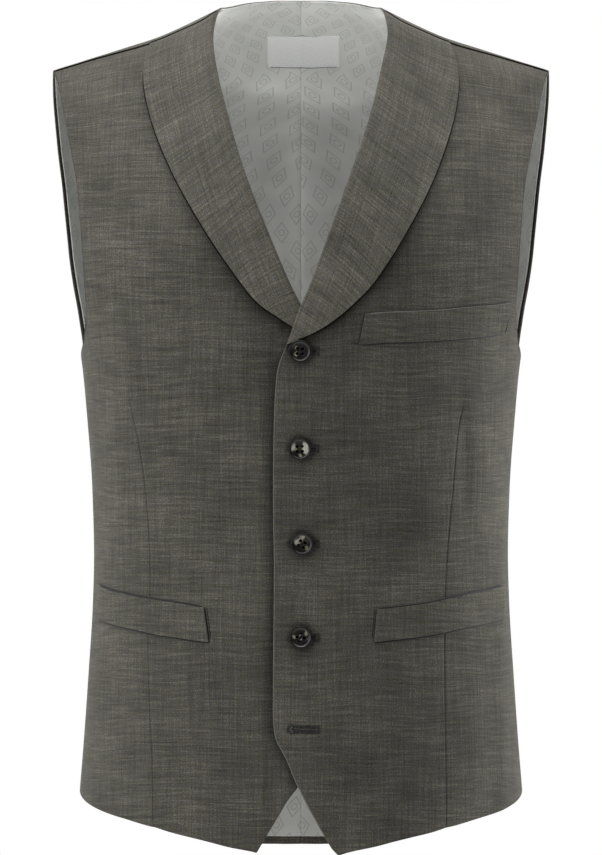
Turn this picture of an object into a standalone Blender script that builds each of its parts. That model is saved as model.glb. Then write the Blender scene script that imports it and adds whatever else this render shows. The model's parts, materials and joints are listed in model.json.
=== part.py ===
"""Suit waistcoat in its worn shape: two fronts, two backs, a back lining, a shawl collar, three
pocket welts, four buttons and a neck label, each a closed solid.

Sizes are in millimetres, and the meshes are written in metres. The origin is level with the neck
points, above the shoulder line. The front faces -Y, the wearer's left is +X, and +Z is up.

A point of the cloth is named by two numbers: its azimuth, in degrees round the body from the
centre front (0) over the wearer's left side (90) to the centre back (180), and its "down", the
distance below the top of the shoulder, measured along a quarter circle that rolls over the shoulder.
"""
import math
from collections import namedtuple

import bmesh
import bpy
from mathutils import Matrix, Vector

METRE = 0.001                 # one millimetre in metres

# Cloth and seams.
WALL = 1.8                    # a suiting front with its facing
BACK_WALL = 1.2               # suiting back
LINING_WALL = 1.0
COLLAR_WALL = 1.5
WELT_WALL = 1.2
LABEL_WALL = 1.0
SEAM_GAP = 0.3                # between two pieces sewn side by side
SHOULDER_GAP = 0.42           # from the shoulder seam's line to each piece, which meet there at an angle
LAYER_GAP = 0.45              # between a panel and what lies on it
LABEL_GAP = 1.05              # the lining is hollow under the stiffer label

# The body that the waistcoat is cut for.
SQUARENESS = 2.4              # exponent of the ring's outline: 2 is an ellipse, more is squarer
ROLL = 190.0                  # height over which the cloth rolls from the shoulder to full depth
FRONT_EASE = 0.30             # how much flatter than a quarter circle the front starts
SHOULDER_FORWARD = 8.0        # how far the shoulder tips lie in front of the neck points
NAPE_FULLNESS = 0.4           # how much steeper than a quarter circle the back rises to the nape
NAPE_REACH = (25.0, 130.0)    # full inside the first x, none outside the second
SHOULDER_HALF = 186.0
SIDE_SEAM = 96.0              # azimuth of the side seam
ARC_PER_DEGREE = 2.6          # mean length of one degree of azimuth, to even out a grid's cells
SETTLE_STEPS = 5              # rounds in which a point's height and half width settle on each other
NORMAL_TURN, NORMAL_DOWN = 0.5, 1.5           # steps either way over which the normal is measured
ROLL_OUTWARD = 60.0           # how much up counts as outward where the cloth rolls over the shoulder

Ring = namedtuple("Ring", "z half_width front_depth back_depth")
RINGS = [
    Ring(-640, 168.5, 131.0, 116.0),
    Ring(-590, 165.2, 129.0, 114.0),
    Ring(-545, 161.6, 126.0, 110.0),
    Ring(-495, 158.1, 123.0, 104.0),
    Ring(-440, 154.7, 122.0, 98.0),
    Ring(-405, 153.8, 124.0, 96.5),
    Ring(-356, 155.1, 129.0, 99.0),
    Ring(-300, 159.2, 135.0, 106.0),
    Ring(-258, 163.4, 138.5, 112.0),
    Ring(-224, 171.0, 140.0, 115.5),
    Ring(-200, 178.5, 140.5, 117.5),
    Ring(-176, 185.0, 140.5, 119.0),
    Ring(-133, 192.0, 139.0, 120.0),
    Ring(-97, 195.0, 136.0, 120.0),
    Ring(-42, 197.0, 130.0, 120.0),
    Ring(30, 197.0, 126.0, 120.0),
]

Place = namedtuple("Place", "x z")            # seen from the front, x from the centre line outwards
Turn = namedtuple("Turn", "azimuth z")        # seen from all round
Drop = namedtuple("Drop", "x drop")

SHOULDER_LINE = [
    Place(0, 22.0), Place(16, 20.5), Place(30, 17.0), Place(60.5, 4.3), Place(82.5, -6.7),
    Place(106, -17.2), Place(134, -26.3), Place(160, -34.6), Place(186, -42.7), Place(215, -53.0),
]
# The shoulder seam runs a little in front of the top line.
SEAM_DROP = [Drop(58, 1.2), Drop(75, 3.6), Drop(95, 3.2), Drop(120, 3.0), Drop(150, 1.8), Drop(190, 1.0)]

BACK_NECK = [Place(0, 9.0), Place(12, 8.9), Place(26, 8.5), Place(43, 7.2), Place(55, 5.4)]
NECK_POINT_X = 62.0

BACK_HEM = [Turn(180, -621.8), Turn(174, -621.8), Turn(168, -621.4), Turn(162, -620.2),
            Turn(145, -609.2), Turn(125, -596.8), Turn(110, -588.8), Turn(SIDE_SEAM, -579.0)]
HEM_INNER = [Place(50.2, -624.0), Place(79.2, -616.8), Place(107.5, -609.0), Place(131.0, -602.6),
             Place(149.5, -596.5)]
HEM_OUTER = [Turn(68, -592.0), Turn(79, -586.5), Turn(SIDE_SEAM, -579.0)]

UNDERARM_Z = -262.0
FRONT_ARMHOLE = [
    Turn(SIDE_SEAM, UNDERARM_Z), Turn(90, -262.0), Turn(84, -260.0), Turn(78, -255.0),
    Turn(73, -247.5), Turn(68.6, -237.0), Turn(63.8, -222.0), Turn(60.0, -202.0), Turn(57.0, -176.0),
    Turn(55.6, -133.0), Turn(57.7, -97.0), Turn(59.8, -76.0), Turn(62.2, -55.0),
]
BACK_ARMHOLE = [
    Turn(SIDE_SEAM, UNDERARM_Z), Turn(99.5, -260.0), Turn(102.5, -254.5), Turn(105.0, -244.0),
    Turn(107.3, -230.0), Turn(112.0, -200.0), Turn(115.4, -170.0), Turn(116.8, -133.0), Turn(115.6, -97.0),
    Turn(114.4, -66.0), Turn(114.2, -52.0),
]

# The fronts, from the pointed tip up the cutaway and the front edge to the neck point. Negative x
# is past the centre line. "over" is the wearer's left front, "under" the right one.
TIP = {"over": Place(27.8, -629.6), "under": Place(33.0, -627.5)}
CUTAWAY = {
    "over": [Place(22.9, -624.5), Place(17.6, -615.0), Place(10.5, -602.3), Place(-2.0, -578.3),
             Place(-10.5, -558.0), Place(-14.6, -550.0)],
    "under": [Place(27.3, -617.5), Place(17.4, -600.8), Place(9.8, -588.0), Place(2.2, -578.0),
              Place(-6.0, -563.0), Place(-12.0, -552.0)],
}
FRONT_EDGE = {
    "over": [Place(-18.2, -543.0), Place(-20.0, -532.0), Place(-20.3, -500.0), Place(-19.6, -415.5),
             Place(-20.3, -360.8), Place(-19.9, -318.0), Place(-18.8, -285.0), Place(-16.5, -264.0),
             Place(-10.5, -247.0)],
    "under": [Place(-16.5, -543.0), Place(-19.0, -530.0), Place(-19.5, -500.0), Place(-19.5, -415.5),
              Place(-19.5, -360.8), Place(-19.3, -318.0), Place(-18.5, -285.0), Place(-16.5, -264.0),
              Place(-11.5, -247.0)],
}
NECK_EDGE = {
    "over": [Place(-4.5, -229.0), Place(-0.8, -218.3), Place(6.4, -201.8), Place(21.8, -158.6),
             Place(37.5, -114.0), Place(50.3, -75.0), Place(59.8, -36.0), Place(64.0, -15.0)],
    "under": [Place(-5.5, -229.0), Place(-0.8, -218.3), Place(7.4, -201.8), Place(22.6, -165.0),
              Place(41.0, -117.0), Place(53.3, -75.0), Place(61.5, -42.0), Place(64.9, -18.0)],
}
COLLAR_EDGE = {
    "over": [Place(-9.5, -246.6), Place(-2.5, -243.8), Place(15.0, -235.3), Place(28.5, -225.8),
             Place(41.8, -213.8), Place(53.3, -201.8), Place(79.2, -161.3), Place(100.5, -118.5),
             Place(113.8, -78.0), Place(117.4, -52.0), Place(115.0, -33.5)],
    "under": [Place(-9.0, -243.0), Place(-2.0, -239.5), Place(7.5, -233.3), Place(18.8, -225.8),
              Place(33.0, -215.3), Place(58.5, -181.5), Place(80.3, -147.0), Place(96.5, -117.0),
              Place(110.5, -82.5), Place(117.0, -53.3), Place(116.3, -36.0)],
}
COLLAR_TOP_X = {"over": 110.5, "under": 112.5}
# The long dart runs from the hem to its point; above that its line only sets out the grid.
DART = {
    "over": [Place(107.3, -560.0), Place(106.8, -524.0), Place(106.4, -463.0), Place(108.3, -404.0),
             Place(112.3, -357.8), Place(117.4, -306.0), Place(120.0, -291.8)],
    "under": [Place(110.0, -560.0), Place(112.3, -510.0), Place(113.0, -463.0), Place(111.5, -420.0),
              Place(114.0, -368.0), Place(119.3, -324.8), Place(126.4, -284.0)],
}
ABOVE_DART = {"over": [Place(122.0, -200.0), Place(123.0, -110.0)],
              "under": [Place(127.0, -200.0), Place(126.0, -110.0)]}
DART_HEM_X = {"over": 107.6, "under": 109.0}
DART_SHOULDER_X = 124.0
DART_MARGIN = 0.5             # azimuth kept clear of hem points on either side of the dart
DART_DEPTH = 0.8
DART_HALF_WIDTH = 2.5

SIGN = {"over": 1, "under": -1}
# Where the left front laps over the right one it lies higher, and higher still over the collar's tip.
LAP_LIFT = WALL + LAYER_GAP
LAP_REACH = (22.0, 62.0)      # full lift inside the first x, none outside the second
TIP_EASE = 0.3
TIP_LIFT = COLLAR_WALL + LAYER_GAP + TIP_EASE
TIP_CENTRE = Place(0.0, -236.0)
TIP_REACH = (22.0, 66.0)      # full lift inside the first radius, none outside the second
COLLAR_CROWN = 0.9            # how far the middle of the collar's leaf stands proud of its edges
COLLAR_FULL_WIDTH = 60.0

Welt = namedtuple("Welt", "node side bottom top")
WELTS = [
    Welt("welt_breast", "over",
         [Place(42.6, -247.4), Place(72.0, -245.6), Place(110.0, -243.7), Place(150.5, -238.0)],
         [Place(47.5, -224.2), Place(78.0, -222.6), Place(116.0, -219.8), Place(155.6, -215.0)]),
    Welt("welt_left", "over",
         [Place(54.3, -470.0), Place(86.0, -466.4), Place(118.0, -460.2), Place(149.3, -451.8)],
         [Place(56.3, -445.5), Place(87.0, -442.0), Place(118.0, -435.4), Place(148.3, -427.8)]),
    Welt("welt_right", "under",
         [Place(68.5, -470.0), Place(98.0, -466.0), Place(128.0, -459.8), Place(150.2, -452.6)],
         [Place(72.0, -443.9), Place(100.0, -439.5), Place(127.0, -434.8), Place(149.6, -427.0)]),
]

# A fold is a soft ridge (height over 0) or trough on one side of the body.
Fold = namedtuple("Fold", "sign behind x z length width lean height")
FOLDS = [
    Fold(1, False, 130.0, -312.0, 62.0, 11.0, 4.0, 1.5),
    Fold(-1, False, 130.0, -268.0, 26.0, 10.0, -4.0, 1.2),
    Fold(1, False, 151.0, -68.0, 22.0, 9.0, 30.0, -1.4),
    Fold(-1, False, 136.0, -52.0, 20.0, 8.0, -58.0, 1.2),
    Fold(1, True, 112.0, -330.0, 60.0, 16.0, 10.0, 1.6),
    Fold(-1, True, 108.0, -350.0, 66.0, 17.0, -8.0, 1.8),
    Fold(1, True, 60.0, -395.0, 70.0, 22.0, 78.0, -1.6),
    Fold(-1, True, 70.0, -410.0, 60.0, 20.0, -80.0, -1.4),
]

# Buttons.
BUTTON_Z = [-252.0, -324.8, -396.0, -466.5]
BUTTON_X = -0.4
BUTTON_RADIUS = 8.4
BUTTON_SIDES = 20
BUTTON_HOLE_RADIUS = 1.1
BUTTON_HOLE_OUT = 2.9         # from the button's centre to a hole's centre
BUTTON_HOLE_SIDES = 8
DRILL_DEPTH = 20.0
ButtonStep = namedtuple("ButtonStep", "radius height")
BUTTON_PROFILE = [
    ButtonStep(0.0, 0.0), ButtonStep(6.2, 0.0), ButtonStep(8.1, 0.9), ButtonStep(8.4, 1.9),
    ButtonStep(7.6, 3.0), ButtonStep(6.4, 3.0), ButtonStep(5.2, 1.9), ButtonStep(0.0, 1.7),
]

LABEL_BOTTOM = [Place(-25.5, -38.7), Place(-12.0, -38.8), Place(2.0, -38.9), Place(16.0, -38.7),
                Place(29.5, -38.5)]
LABEL_TOP = [Place(-25.5, -15.6), Place(-12.0, -15.4), Place(2.0, -15.2), Place(16.0, -15.1),
             Place(29.5, -15.0)]

# Grids: cells across and along each piece.
CURVE_STEPS = 16              # straight pieces that stand for each span of a curve
FRONT_COLUMNS = (8, 8)
FRONT_ROWS = (5, 14, 13)      # cutaway, edge up to the underarm, underarm to the shoulder
UNDERARM_SHARE = 0.6          # where the underarm's row meets the front edge, between two of its places
UNDERARM_EDGE = 5             # the first of those two
SEAM_MARKS = 4                # spans by which a stretch of shoulder seam is set out
BACK_COLUMNS = 12
BACK_NECK_COLUMNS = 6
BACK_ROWS = (12, 17)          # hem to the underarm, underarm to the shoulder
BACK_MIDDLE_Z = -330.0        # where the row from the underarm meets the centre seam
NECK_CROWDING = 1.3           # rows crowd towards the neck, where the back rolls over most
LINING_HEM = 6.0              # how far above the back's hem the lining ends
LINING_INSET = 1.6            # how far inside the back's armhole edge the lining ends
COLLAR_CELLS = (6, 26)
WELT_CELLS = (12, 3)
LABEL_CELLS = (10, 3)
BOW_FADE = 2.5                # how fast the bend of a hem or neck dies out in the rows beyond it
EDGE_INSET = 1.2              # how far the front's neck edge hides under the collar's fold
CLOTH_CREASE = 50.0           # edges sharper than this are shaded as edges
BUTTON_CREASE = 40.0
RING_EDGE = 0.9999            # nearest that a place seen from the front comes to the ring's side

COLOURS = {"suiting": (0.105, 0.099, 0.085), "lining": (0.30, 0.31, 0.29),
           "horn": (0.022, 0.020, 0.018), "satin": (0.48, 0.48, 0.47)}


def clear_scene():
    for thing in list(bpy.data.objects):
        bpy.data.objects.remove(thing, do_unlink=True)


def material(name, colour, roughness):
    made = bpy.data.materials.new(name)
    made.use_nodes = True
    shader = made.node_tree.nodes["Principled BSDF"]
    shader.inputs["Base Color"].default_value = (*colour, 1.0)
    shader.inputs["Roughness"].default_value = roughness
    return made


# Smooth readings of the tables.

def smooth(xs, ys, x):
    """Monotone cubic through the points (xs, ys), flat outside them."""
    if x <= xs[0]:
        return ys[0]
    if x >= xs[-1]:
        return ys[-1]
    index = max(i for i in range(len(xs) - 1) if xs[i] <= x)
    steps = [xs[i + 1] - xs[i] for i in range(len(xs) - 1)]
    slopes = [(ys[i + 1] - ys[i]) / steps[i] for i in range(len(steps))]

    def tangent(i):
        if i == 0 or i == len(xs) - 1:
            return slopes[0] if i == 0 else slopes[-1]
        before, after = slopes[i - 1], slopes[i]
        if before * after <= 0:
            return 0.0
        first = 2 * steps[i] + steps[i - 1]
        second = steps[i] + 2 * steps[i - 1]
        return (first + second) / (first / before + second / after)

    span = steps[index]
    t = (x - xs[index]) / span
    start, end = tangent(index) * span, tangent(index + 1) * span
    return ((2 * t**3 - 3 * t**2 + 1) * ys[index] + (t**3 - 2 * t**2 + t) * start
            + (3 * t**2 - 2 * t**3) * ys[index + 1] + (t**3 - t**2) * end)


def fade(value, near, far):
    """1 up to near, 0 from far on, smooth between."""
    t = min(max((far - value) / (far - near), 0.0), 1.0)
    return t * t * (3 - 2 * t)


RING_Z = [ring.z for ring in RINGS]
RING_SIZES = list(zip(*[(ring.half_width, ring.front_depth, ring.back_depth) for ring in RINGS]))


def ring_at(z):
    return [smooth(RING_Z, sizes, z) for sizes in RING_SIZES]


def shoulder_top(x):
    return smooth([place.x for place in SHOULDER_LINE], [place.z for place in SHOULDER_LINE], abs(x))


def seam_drop(x):
    return smooth([row.x for row in SEAM_DROP], [row.drop for row in SEAM_DROP], abs(x))


# The surface of the body.

def height_below(down):
    quarter = ROLL * math.pi / 2
    if down < quarter:
        return ROLL * (1 - math.cos(down / ROLL))
    return ROLL + down - quarter


def down_at(height):
    if height < ROLL:
        return ROLL * math.acos(1 - max(height, 0.0) / ROLL)
    return ROLL * math.pi / 2 + height - ROLL


def ring_direction(azimuth):
    angle = math.radians(azimuth)
    side, ahead = math.sin(angle), math.cos(angle)
    reach = (abs(side) ** SQUARENESS + abs(ahead) ** SQUARENESS) ** (-1 / SQUARENESS)
    return side * reach, ahead * reach


def body_point(azimuth, down):
    if down < 0:                                  # past the top of the shoulder, on the other side
        azimuth, down = math.copysign(180, azimuth) - azimuth, -down
    side, ahead = ring_direction(azimuth)
    below = height_below(down)
    x = SHOULDER_HALF * side
    for _ in range(SETTLE_STEPS):
        z = shoulder_top(x) - below
        half_width, front_depth, back_depth = ring_at(z)
        x = half_width * side
    rolled = min(down / ROLL, math.pi / 2)
    share = math.sin(rolled)
    if ahead > 0:
        share *= 1 - FRONT_EASE * math.cos(rolled) ** 2
    else:
        share **= 1 - NAPE_FULLNESS * fade(abs(x), *NAPE_REACH)
    depth = front_depth if ahead > 0 else back_depth
    forward = SHOULDER_FORWARD * (x / SHOULDER_HALF) ** 2
    return Vector((x, -forward * (1 - share) - depth * ahead * share, z))


def body_normal(azimuth, down):
    around = body_point(azimuth + NORMAL_TURN, down) - body_point(azimuth - NORMAL_TURN, down)
    along = body_point(azimuth, down + NORMAL_DOWN) - body_point(azimuth, down - NORMAL_DOWN)
    normal = around.cross(along).normalized()
    place = body_point(azimuth, down)
    outward = Vector((place.x, place.y, ROLL_OUTWARD if abs(down) < ROLL else 0.0))
    return normal if normal.dot(outward) > 0 else -normal


def fold_height(place):
    total = 0.0
    for fold in FOLDS:
        if place.x * fold.sign <= 0 or (place.y > 0) != fold.behind:
            continue
        lean = math.radians(fold.lean)
        across, along = abs(place.x) - fold.x, place.z - fold.z
        turned = across * math.cos(lean) + along * math.sin(lean)
        run = along * math.cos(lean) - across * math.sin(lean)
        total += fold.height * math.exp(-(turned / fold.width) ** 2 - (run / fold.length) ** 2)
    return total


def cloth(azimuth, down, lift):
    place = body_point(azimuth, down)
    return place + body_normal(azimuth, down) * (lift + fold_height(place))


# From a place seen from the front to a spot on the cloth, written (azimuth, down).

def spot(x, z, behind=False):
    half_width = ring_at(z)[0]
    side = min(abs(x) / half_width, RING_EDGE)
    ahead = (1 - side ** SQUARENESS) ** (1 / SQUARENESS)
    azimuth = math.degrees(math.atan2(side, ahead))
    if behind:
        azimuth = 180 - azimuth
    return math.copysign(azimuth, x), down_at(shoulder_top(x) - z)


def spot_round(azimuth, z):
    side = ring_direction(azimuth)[0]
    return azimuth, down_at(shoulder_top(ring_at(z)[0] * side) - z)


def spot_on_seam(x, gap):
    """On the shoulder seam; gap moves the spot down the front (over 0) or to the back (under 0)."""
    azimuth = spot(x, shoulder_top(x) - seam_drop(x))[0]
    return azimuth, down_at(seam_drop(x)) + gap


def spots(places):
    return [spot(place.x, place.z) for place in places]


def spots_round(turns):
    return [spot_round(turn.azimuth, turn.z) for turn in turns]


def gap_between(first, second):
    return math.hypot((first[0] - second[0]) * ARC_PER_DEGREE, first[1] - second[1])


def blend(first, second, share):
    return tuple(a + (b - a) * share for a, b in zip(first, second))


def curve(points, cells, warp=None):
    """Smooth curve through the points, as cells + 1 evenly spaced spots, or spaced by warp."""
    fine = []
    for index in range(len(points) - 1):
        one, two = points[index], points[index + 1]
        before = points[index - 1] if index else blend(one, two, -1)
        after = points[index + 2] if index + 2 < len(points) else blend(one, two, 2)
        spans = [max(gap_between(a, b), 1e-6) ** 0.5 for a, b in
                 ((before, one), (one, two), (two, after))]
        knots = [0.0, spans[0], spans[0] + spans[1], sum(spans)]
        for step in range(CURVE_STEPS):
            t = knots[1] + spans[1] * step / CURVE_STEPS
            fine.append(catmull_rom((before, one, two, after), knots, t))
    fine.append(points[-1])
    lengths = [0.0]
    for one, two in zip(fine, fine[1:]):
        lengths.append(lengths[-1] + gap_between(one, two))
    shares = warp or [step / cells for step in range(cells + 1)]
    made = []
    for share in shares:
        wanted = share * lengths[-1]
        index = min(max(i for i in range(len(lengths)) if lengths[i] <= wanted + 1e-9), len(fine) - 2)
        span = max(lengths[index + 1] - lengths[index], 1e-9)
        made.append(blend(fine[index], fine[index + 1], (wanted - lengths[index]) / span))
    return made


def catmull_rom(four, knots, t):
    """The curve through the middle two of four points, blended pair by pair down to one point."""
    level = list(four)
    for start, reach in ((0, 1), (0, 2), (1, 1)):
        shares = [(t - knots[start + k]) / (knots[start + k + reach] - knots[start + k])
                  for k in range(len(level) - 1)]
        level = [blend(one, two, share) for one, two, share in zip(level, level[1:], shares)]
    return level[0]


def join(*curves):
    joined = list(curves[0])
    for following in curves[1:]:
        joined.extend(following[1:])
    return joined


def patch(bottom, top, left, right, across=None):
    """Grid of spots between four edges that share their corners, rows running from the bottom up."""
    columns, rows = len(bottom) - 1, len(left) - 1
    across = across or [i / columns for i in range(columns + 1)]
    grid = []
    for j in range(rows + 1):
        v = j / rows
        row = []
        for i in range(columns + 1):
            u = across[i]
            straight = blend(left[j], right[j], u)
            low_bow = [a - b for a, b in zip(bottom[i], blend(bottom[0], bottom[-1], u))]
            high_bow = [a - b for a, b in zip(top[i], blend(top[0], top[-1], u))]
            row.append(tuple(straight[k] + low_bow[k] * (1 - v) ** BOW_FADE + high_bow[k] * v ** BOW_FADE
                             for k in range(2)))
        grid.append(row)
    return grid


# Closed walls of cloth.

def wall(name, grid, sign, inner, outer, shade):
    """Closed wall over a grid of spots; inner and outer give the lift of a spot at row and column."""
    def sheet_point(spot_at, lift):
        return cloth(spot_at[0] * sign, spot_at[1], lift) * METRE

    mesh = bmesh.new()
    rows, columns = len(grid), len(grid[0])
    sheets = []
    for lift in (inner, outer):
        sheets.append([[mesh.verts.new(sheet_point(grid[j][i], lift(j, i))) for i in range(columns)]
                       for j in range(rows)])
    for sheet in sheets:
        for j in range(rows - 1):
            for i in range(columns - 1):
                mesh.faces.new((sheet[j][i], sheet[j][i + 1], sheet[j + 1][i + 1], sheet[j + 1][i]))
    rim = [(0, i) for i in range(columns)] + [(j, columns - 1) for j in range(1, rows)]
    rim += [(rows - 1, i) for i in range(columns - 2, -1, -1)] + [(j, 0) for j in range(rows - 2, 0, -1)]
    for (j, i), (jj, ii) in zip(rim, rim[1:] + rim[:1]):
        mesh.faces.new((sheets[0][j][i], sheets[0][jj][ii], sheets[1][jj][ii], sheets[1][j][i]))
    bmesh.ops.recalc_face_normals(mesh, faces=mesh.faces)
    data = bpy.data.meshes.new(name)
    mesh.to_mesh(data)
    mesh.free()
    data.shade_smooth()
    data.set_sharp_from_angle(angle=math.radians(CLOTH_CREASE))
    data.materials.append(shade)
    made = bpy.data.objects.new(name, data)
    bpy.context.scene.collection.objects.link(made)
    return made


def lap_lift(side, azimuth, down):
    """How much higher the left front and what lies on it runs than the right front."""
    if side == "under":
        return 0.0
    place = body_point(azimuth, down)
    lifted = LAP_LIFT * fade(place.x, *LAP_REACH)
    distance = math.hypot(place.x - TIP_CENTRE.x, place.z - TIP_CENTRE.z)
    return lifted + TIP_LIFT * fade(distance, *TIP_REACH)


def seam_marks(start_x, end_x, count=SEAM_MARKS, gap=SHOULDER_GAP):
    """Spots along a stretch of the shoulder seam."""
    return [spot_on_seam(start_x + (end_x - start_x) * k / count, gap) for k in range(count + 1)]


def front_outline(side):
    """The front's left edge, dart line and right edge, and its hem and shoulder on each side of the dart."""
    tip = spots([TIP[side]])
    cutaway = tip + spots(CUTAWAY[side])
    edge = cutaway[-1:] + spots(FRONT_EDGE[side])
    neck_point = spot_on_seam(NECK_POINT_X + EDGE_INSET, SHOULDER_GAP)
    tucked = [spot(place.x + EDGE_INSET, place.z) for place in NECK_EDGE[side]]
    underarm = spot(*blend(*FRONT_EDGE[side][UNDERARM_EDGE:UNDERARM_EDGE + 2], UNDERARM_SHARE))
    edge_low = [p for p in edge if p[1] > underarm[1]] + [underarm]
    edge_high = [underarm] + [p for p in edge if p[1] < underarm[1]] + tucked + [neck_point]
    left = join(curve(cutaway, FRONT_ROWS[0]), curve(edge_low, FRONT_ROWS[1]),
                curve(edge_high, FRONT_ROWS[2]))

    hem = tip + spots(HEM_INNER) + spots_round(HEM_OUTER)
    gap_turn = SEAM_GAP / 2 / ARC_PER_DEGREE
    hem[-1] = (SIDE_SEAM - gap_turn, hem[-1][1])
    low_corner = hem[-1]
    under = (SIDE_SEAM - gap_turn, spot_round(SIDE_SEAM, UNDERARM_Z)[1])
    share = FRONT_ROWS[0] / (FRONT_ROWS[0] + FRONT_ROWS[1])
    side_low = blend(low_corner, under, share)
    tip_shoulder = spot_on_seam(SHOULDER_HALF, SHOULDER_GAP)
    armhole = [under] + spots_round(FRONT_ARMHOLE[1:]) + [tip_shoulder]
    right = join(curve([low_corner, side_low], FRONT_ROWS[0]), curve([side_low, under], FRONT_ROWS[1]),
                 curve(armhole, FRONT_ROWS[2]))

    dart_hem = spot(DART_HEM_X[side], smooth([p.x for p in HEM_INNER], [p.z for p in HEM_INNER],
                                             DART_HEM_X[side]))
    dart_top = spot_on_seam(DART_SHOULDER_X, SHOULDER_GAP)
    dart = curve([dart_hem] + spots(DART[side] + ABOVE_DART[side]) + [dart_top], sum(FRONT_ROWS))
    hem_low = [p for p in hem if p[0] < dart_hem[0] - DART_MARGIN] + [dart_hem]
    hem_high = [dart_hem] + [p for p in hem if p[0] > dart_hem[0] + DART_MARGIN]
    seam_low = seam_marks(NECK_POINT_X + EDGE_INSET, DART_SHOULDER_X)
    seam_high = seam_marks(DART_SHOULDER_X, SHOULDER_HALF)
    return left, dart, right, hem_low, hem_high, seam_low, seam_high


def front_grid(side):
    """The front's grid of spots, and the column that follows the dart."""
    left, dart, right, hem_low, hem_high, seam_low, seam_high = front_outline(side)
    inner, outer = FRONT_COLUMNS
    width = gap_between(left[len(left) // 2], dart[len(dart) // 2])
    step = DART_HALF_WIDTH / width
    low = [i / inner * (1 - step) for i in range(inner + 1)] + [1.0]
    width = gap_between(dart[len(dart) // 2], right[len(right) // 2])
    step = DART_HALF_WIDTH / width
    high = [0.0] + [step + i / outer * (1 - step) for i in range(outer + 1)]
    first = patch(curve(hem_low, 0, low), curve(seam_low, 0, low), left, dart, low)
    second = patch(curve(hem_high, 0, high), curve(seam_high, 0, high), dart, right, high)
    return [one + two[1:] for one, two in zip(first, second)], inner + 1


def make_front(name, side, shade):
    grid, dart_column = front_grid(side)
    sign = SIGN[side]
    dart_end = spots(DART[side])[-1][1]

    def inner(j, i):
        return lap_lift(side, grid[j][i][0], grid[j][i][1])

    def outer(j, i):
        groove = DART_DEPTH * (i == dart_column) * (grid[j][i][1] > dart_end)
        return inner(j, i) + WALL - groove

    return wall(name, grid, sign, inner, outer, shade)


def back_grid():
    """Half a back, from the centre seam outwards; its second row is the lining's hem."""
    gap_turn = SEAM_GAP / 2 / ARC_PER_DEGREE
    centre = 180 - gap_turn
    hem = spots_round(BACK_HEM)
    hem[0] = (centre, hem[0][1])
    hem[-1] = (SIDE_SEAM + gap_turn, hem[-1][1])
    under = (SIDE_SEAM + gap_turn, spot_round(SIDE_SEAM, UNDERARM_Z)[1])
    lining_right = (hem[-1][0], hem[-1][1] - LINING_HEM)
    lining_left = (centre, hem[0][1] - LINING_HEM)

    neck = [spot(place.x, place.z, behind=True) for place in BACK_NECK]
    neck[0] = (centre, neck[0][1])
    shoulder_columns = BACK_COLUMNS - BACK_NECK_COLUMNS
    shoulder = [(180 - azimuth, -down) for azimuth, down in
                seam_marks(NECK_POINT_X, SHOULDER_HALF, shoulder_columns, -SHOULDER_GAP)]
    top = join(curve(neck + shoulder[:1], BACK_NECK_COLUMNS), curve(shoulder, shoulder_columns))

    armhole = [under] + spots_round(BACK_ARMHOLE[1:]) + [shoulder[-1]]
    right = join([hem[-1], lining_right], curve([lining_right, under], BACK_ROWS[0] - 1),
                 curve(armhole, BACK_ROWS[1]))
    middle = spot_round(180, BACK_MIDDLE_Z)
    closing = [1 - (1 - k / BACK_ROWS[1]) ** NECK_CROWDING for k in range(BACK_ROWS[1] + 1)]
    left = join([hem[0], lining_left], curve([lining_left, (centre, middle[1])], BACK_ROWS[0] - 1),
                curve([(centre, middle[1]), neck[0]], 0, closing))
    bottom = curve(hem, BACK_COLUMNS)
    return patch(bottom, top, left, right)


def make_back(name, sign, shade):
    grid = back_grid()
    return wall(name, grid, sign, lambda j, i: WALL - BACK_WALL, lambda j, i: WALL, shade)


def make_lining(name, sign, shade):
    full = back_grid()
    grid = []
    for j, row in enumerate(full[1:]):
        inset = LINING_INSET if j >= BACK_ROWS[0] - 1 else 0.0
        share = inset / gap_between(row[-2], row[-1])
        grid.append(row[:-1] + [blend(row[-1], row[-2], share)])
    outside = WALL - BACK_WALL - SEAM_GAP
    return wall(name, grid, sign, lambda j, i: outside - LINING_WALL, lambda j, i: outside, shade)


def collar_grid(side):
    cells_across, cells_along = COLLAR_CELLS
    neck_point = spot_on_seam(NECK_POINT_X, SHOULDER_GAP)
    end = spot(FRONT_EDGE[side][-1].x, FRONT_EDGE[side][-1].z)
    fold = curve([end] + spots(NECK_EDGE[side]) + [neck_point], cells_along)
    outside = curve(spots(COLLAR_EDGE[side]) + [spot_on_seam(COLLAR_TOP_X[side], SHOULDER_GAP)], cells_along)
    bottom = curve([fold[0], outside[0]], cells_across)
    top = curve(seam_marks(NECK_POINT_X, COLLAR_TOP_X[side]), cells_across)
    return patch(bottom, top, fold, outside)


def make_collar(name, side, shade):
    grid = collar_grid(side)
    sign = SIGN[side]

    def inner(j, i):
        return lap_lift(side, *grid[j][i]) + WALL + LAYER_GAP

    def outer(j, i):
        width = min(gap_between(grid[j][0], grid[j][-1]) / COLLAR_FULL_WIDTH, 1.0)
        crown = COLLAR_CROWN * width * math.sin(math.pi * i / COLLAR_CELLS[0])
        return inner(j, i) + COLLAR_WALL + crown

    return wall(name, grid, sign, inner, outer, shade)


def strip_grid(bottom, top, cells, behind=False):
    def edge(places):
        marks = [spot(place.x, place.z, behind) for place in places]
        if behind:                                # measured past the centre back, not through the front
            marks = [(azimuth % 360, down) for azimuth, down in marks]
        return curve(marks, cells[0])

    low, high = edge(bottom), edge(top)
    return patch(low, high, curve([low[0], high[0]], cells[1]), curve([low[-1], high[-1]], cells[1]))


def make_welt(welt, shade):
    grid = strip_grid(welt.bottom, welt.top, WELT_CELLS)

    def inner(j, i):
        return lap_lift(welt.side, *grid[j][i]) + WALL + LAYER_GAP

    return wall(welt.node, grid, SIGN[welt.side], inner, lambda j, i: inner(j, i) + WELT_WALL, shade)


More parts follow.
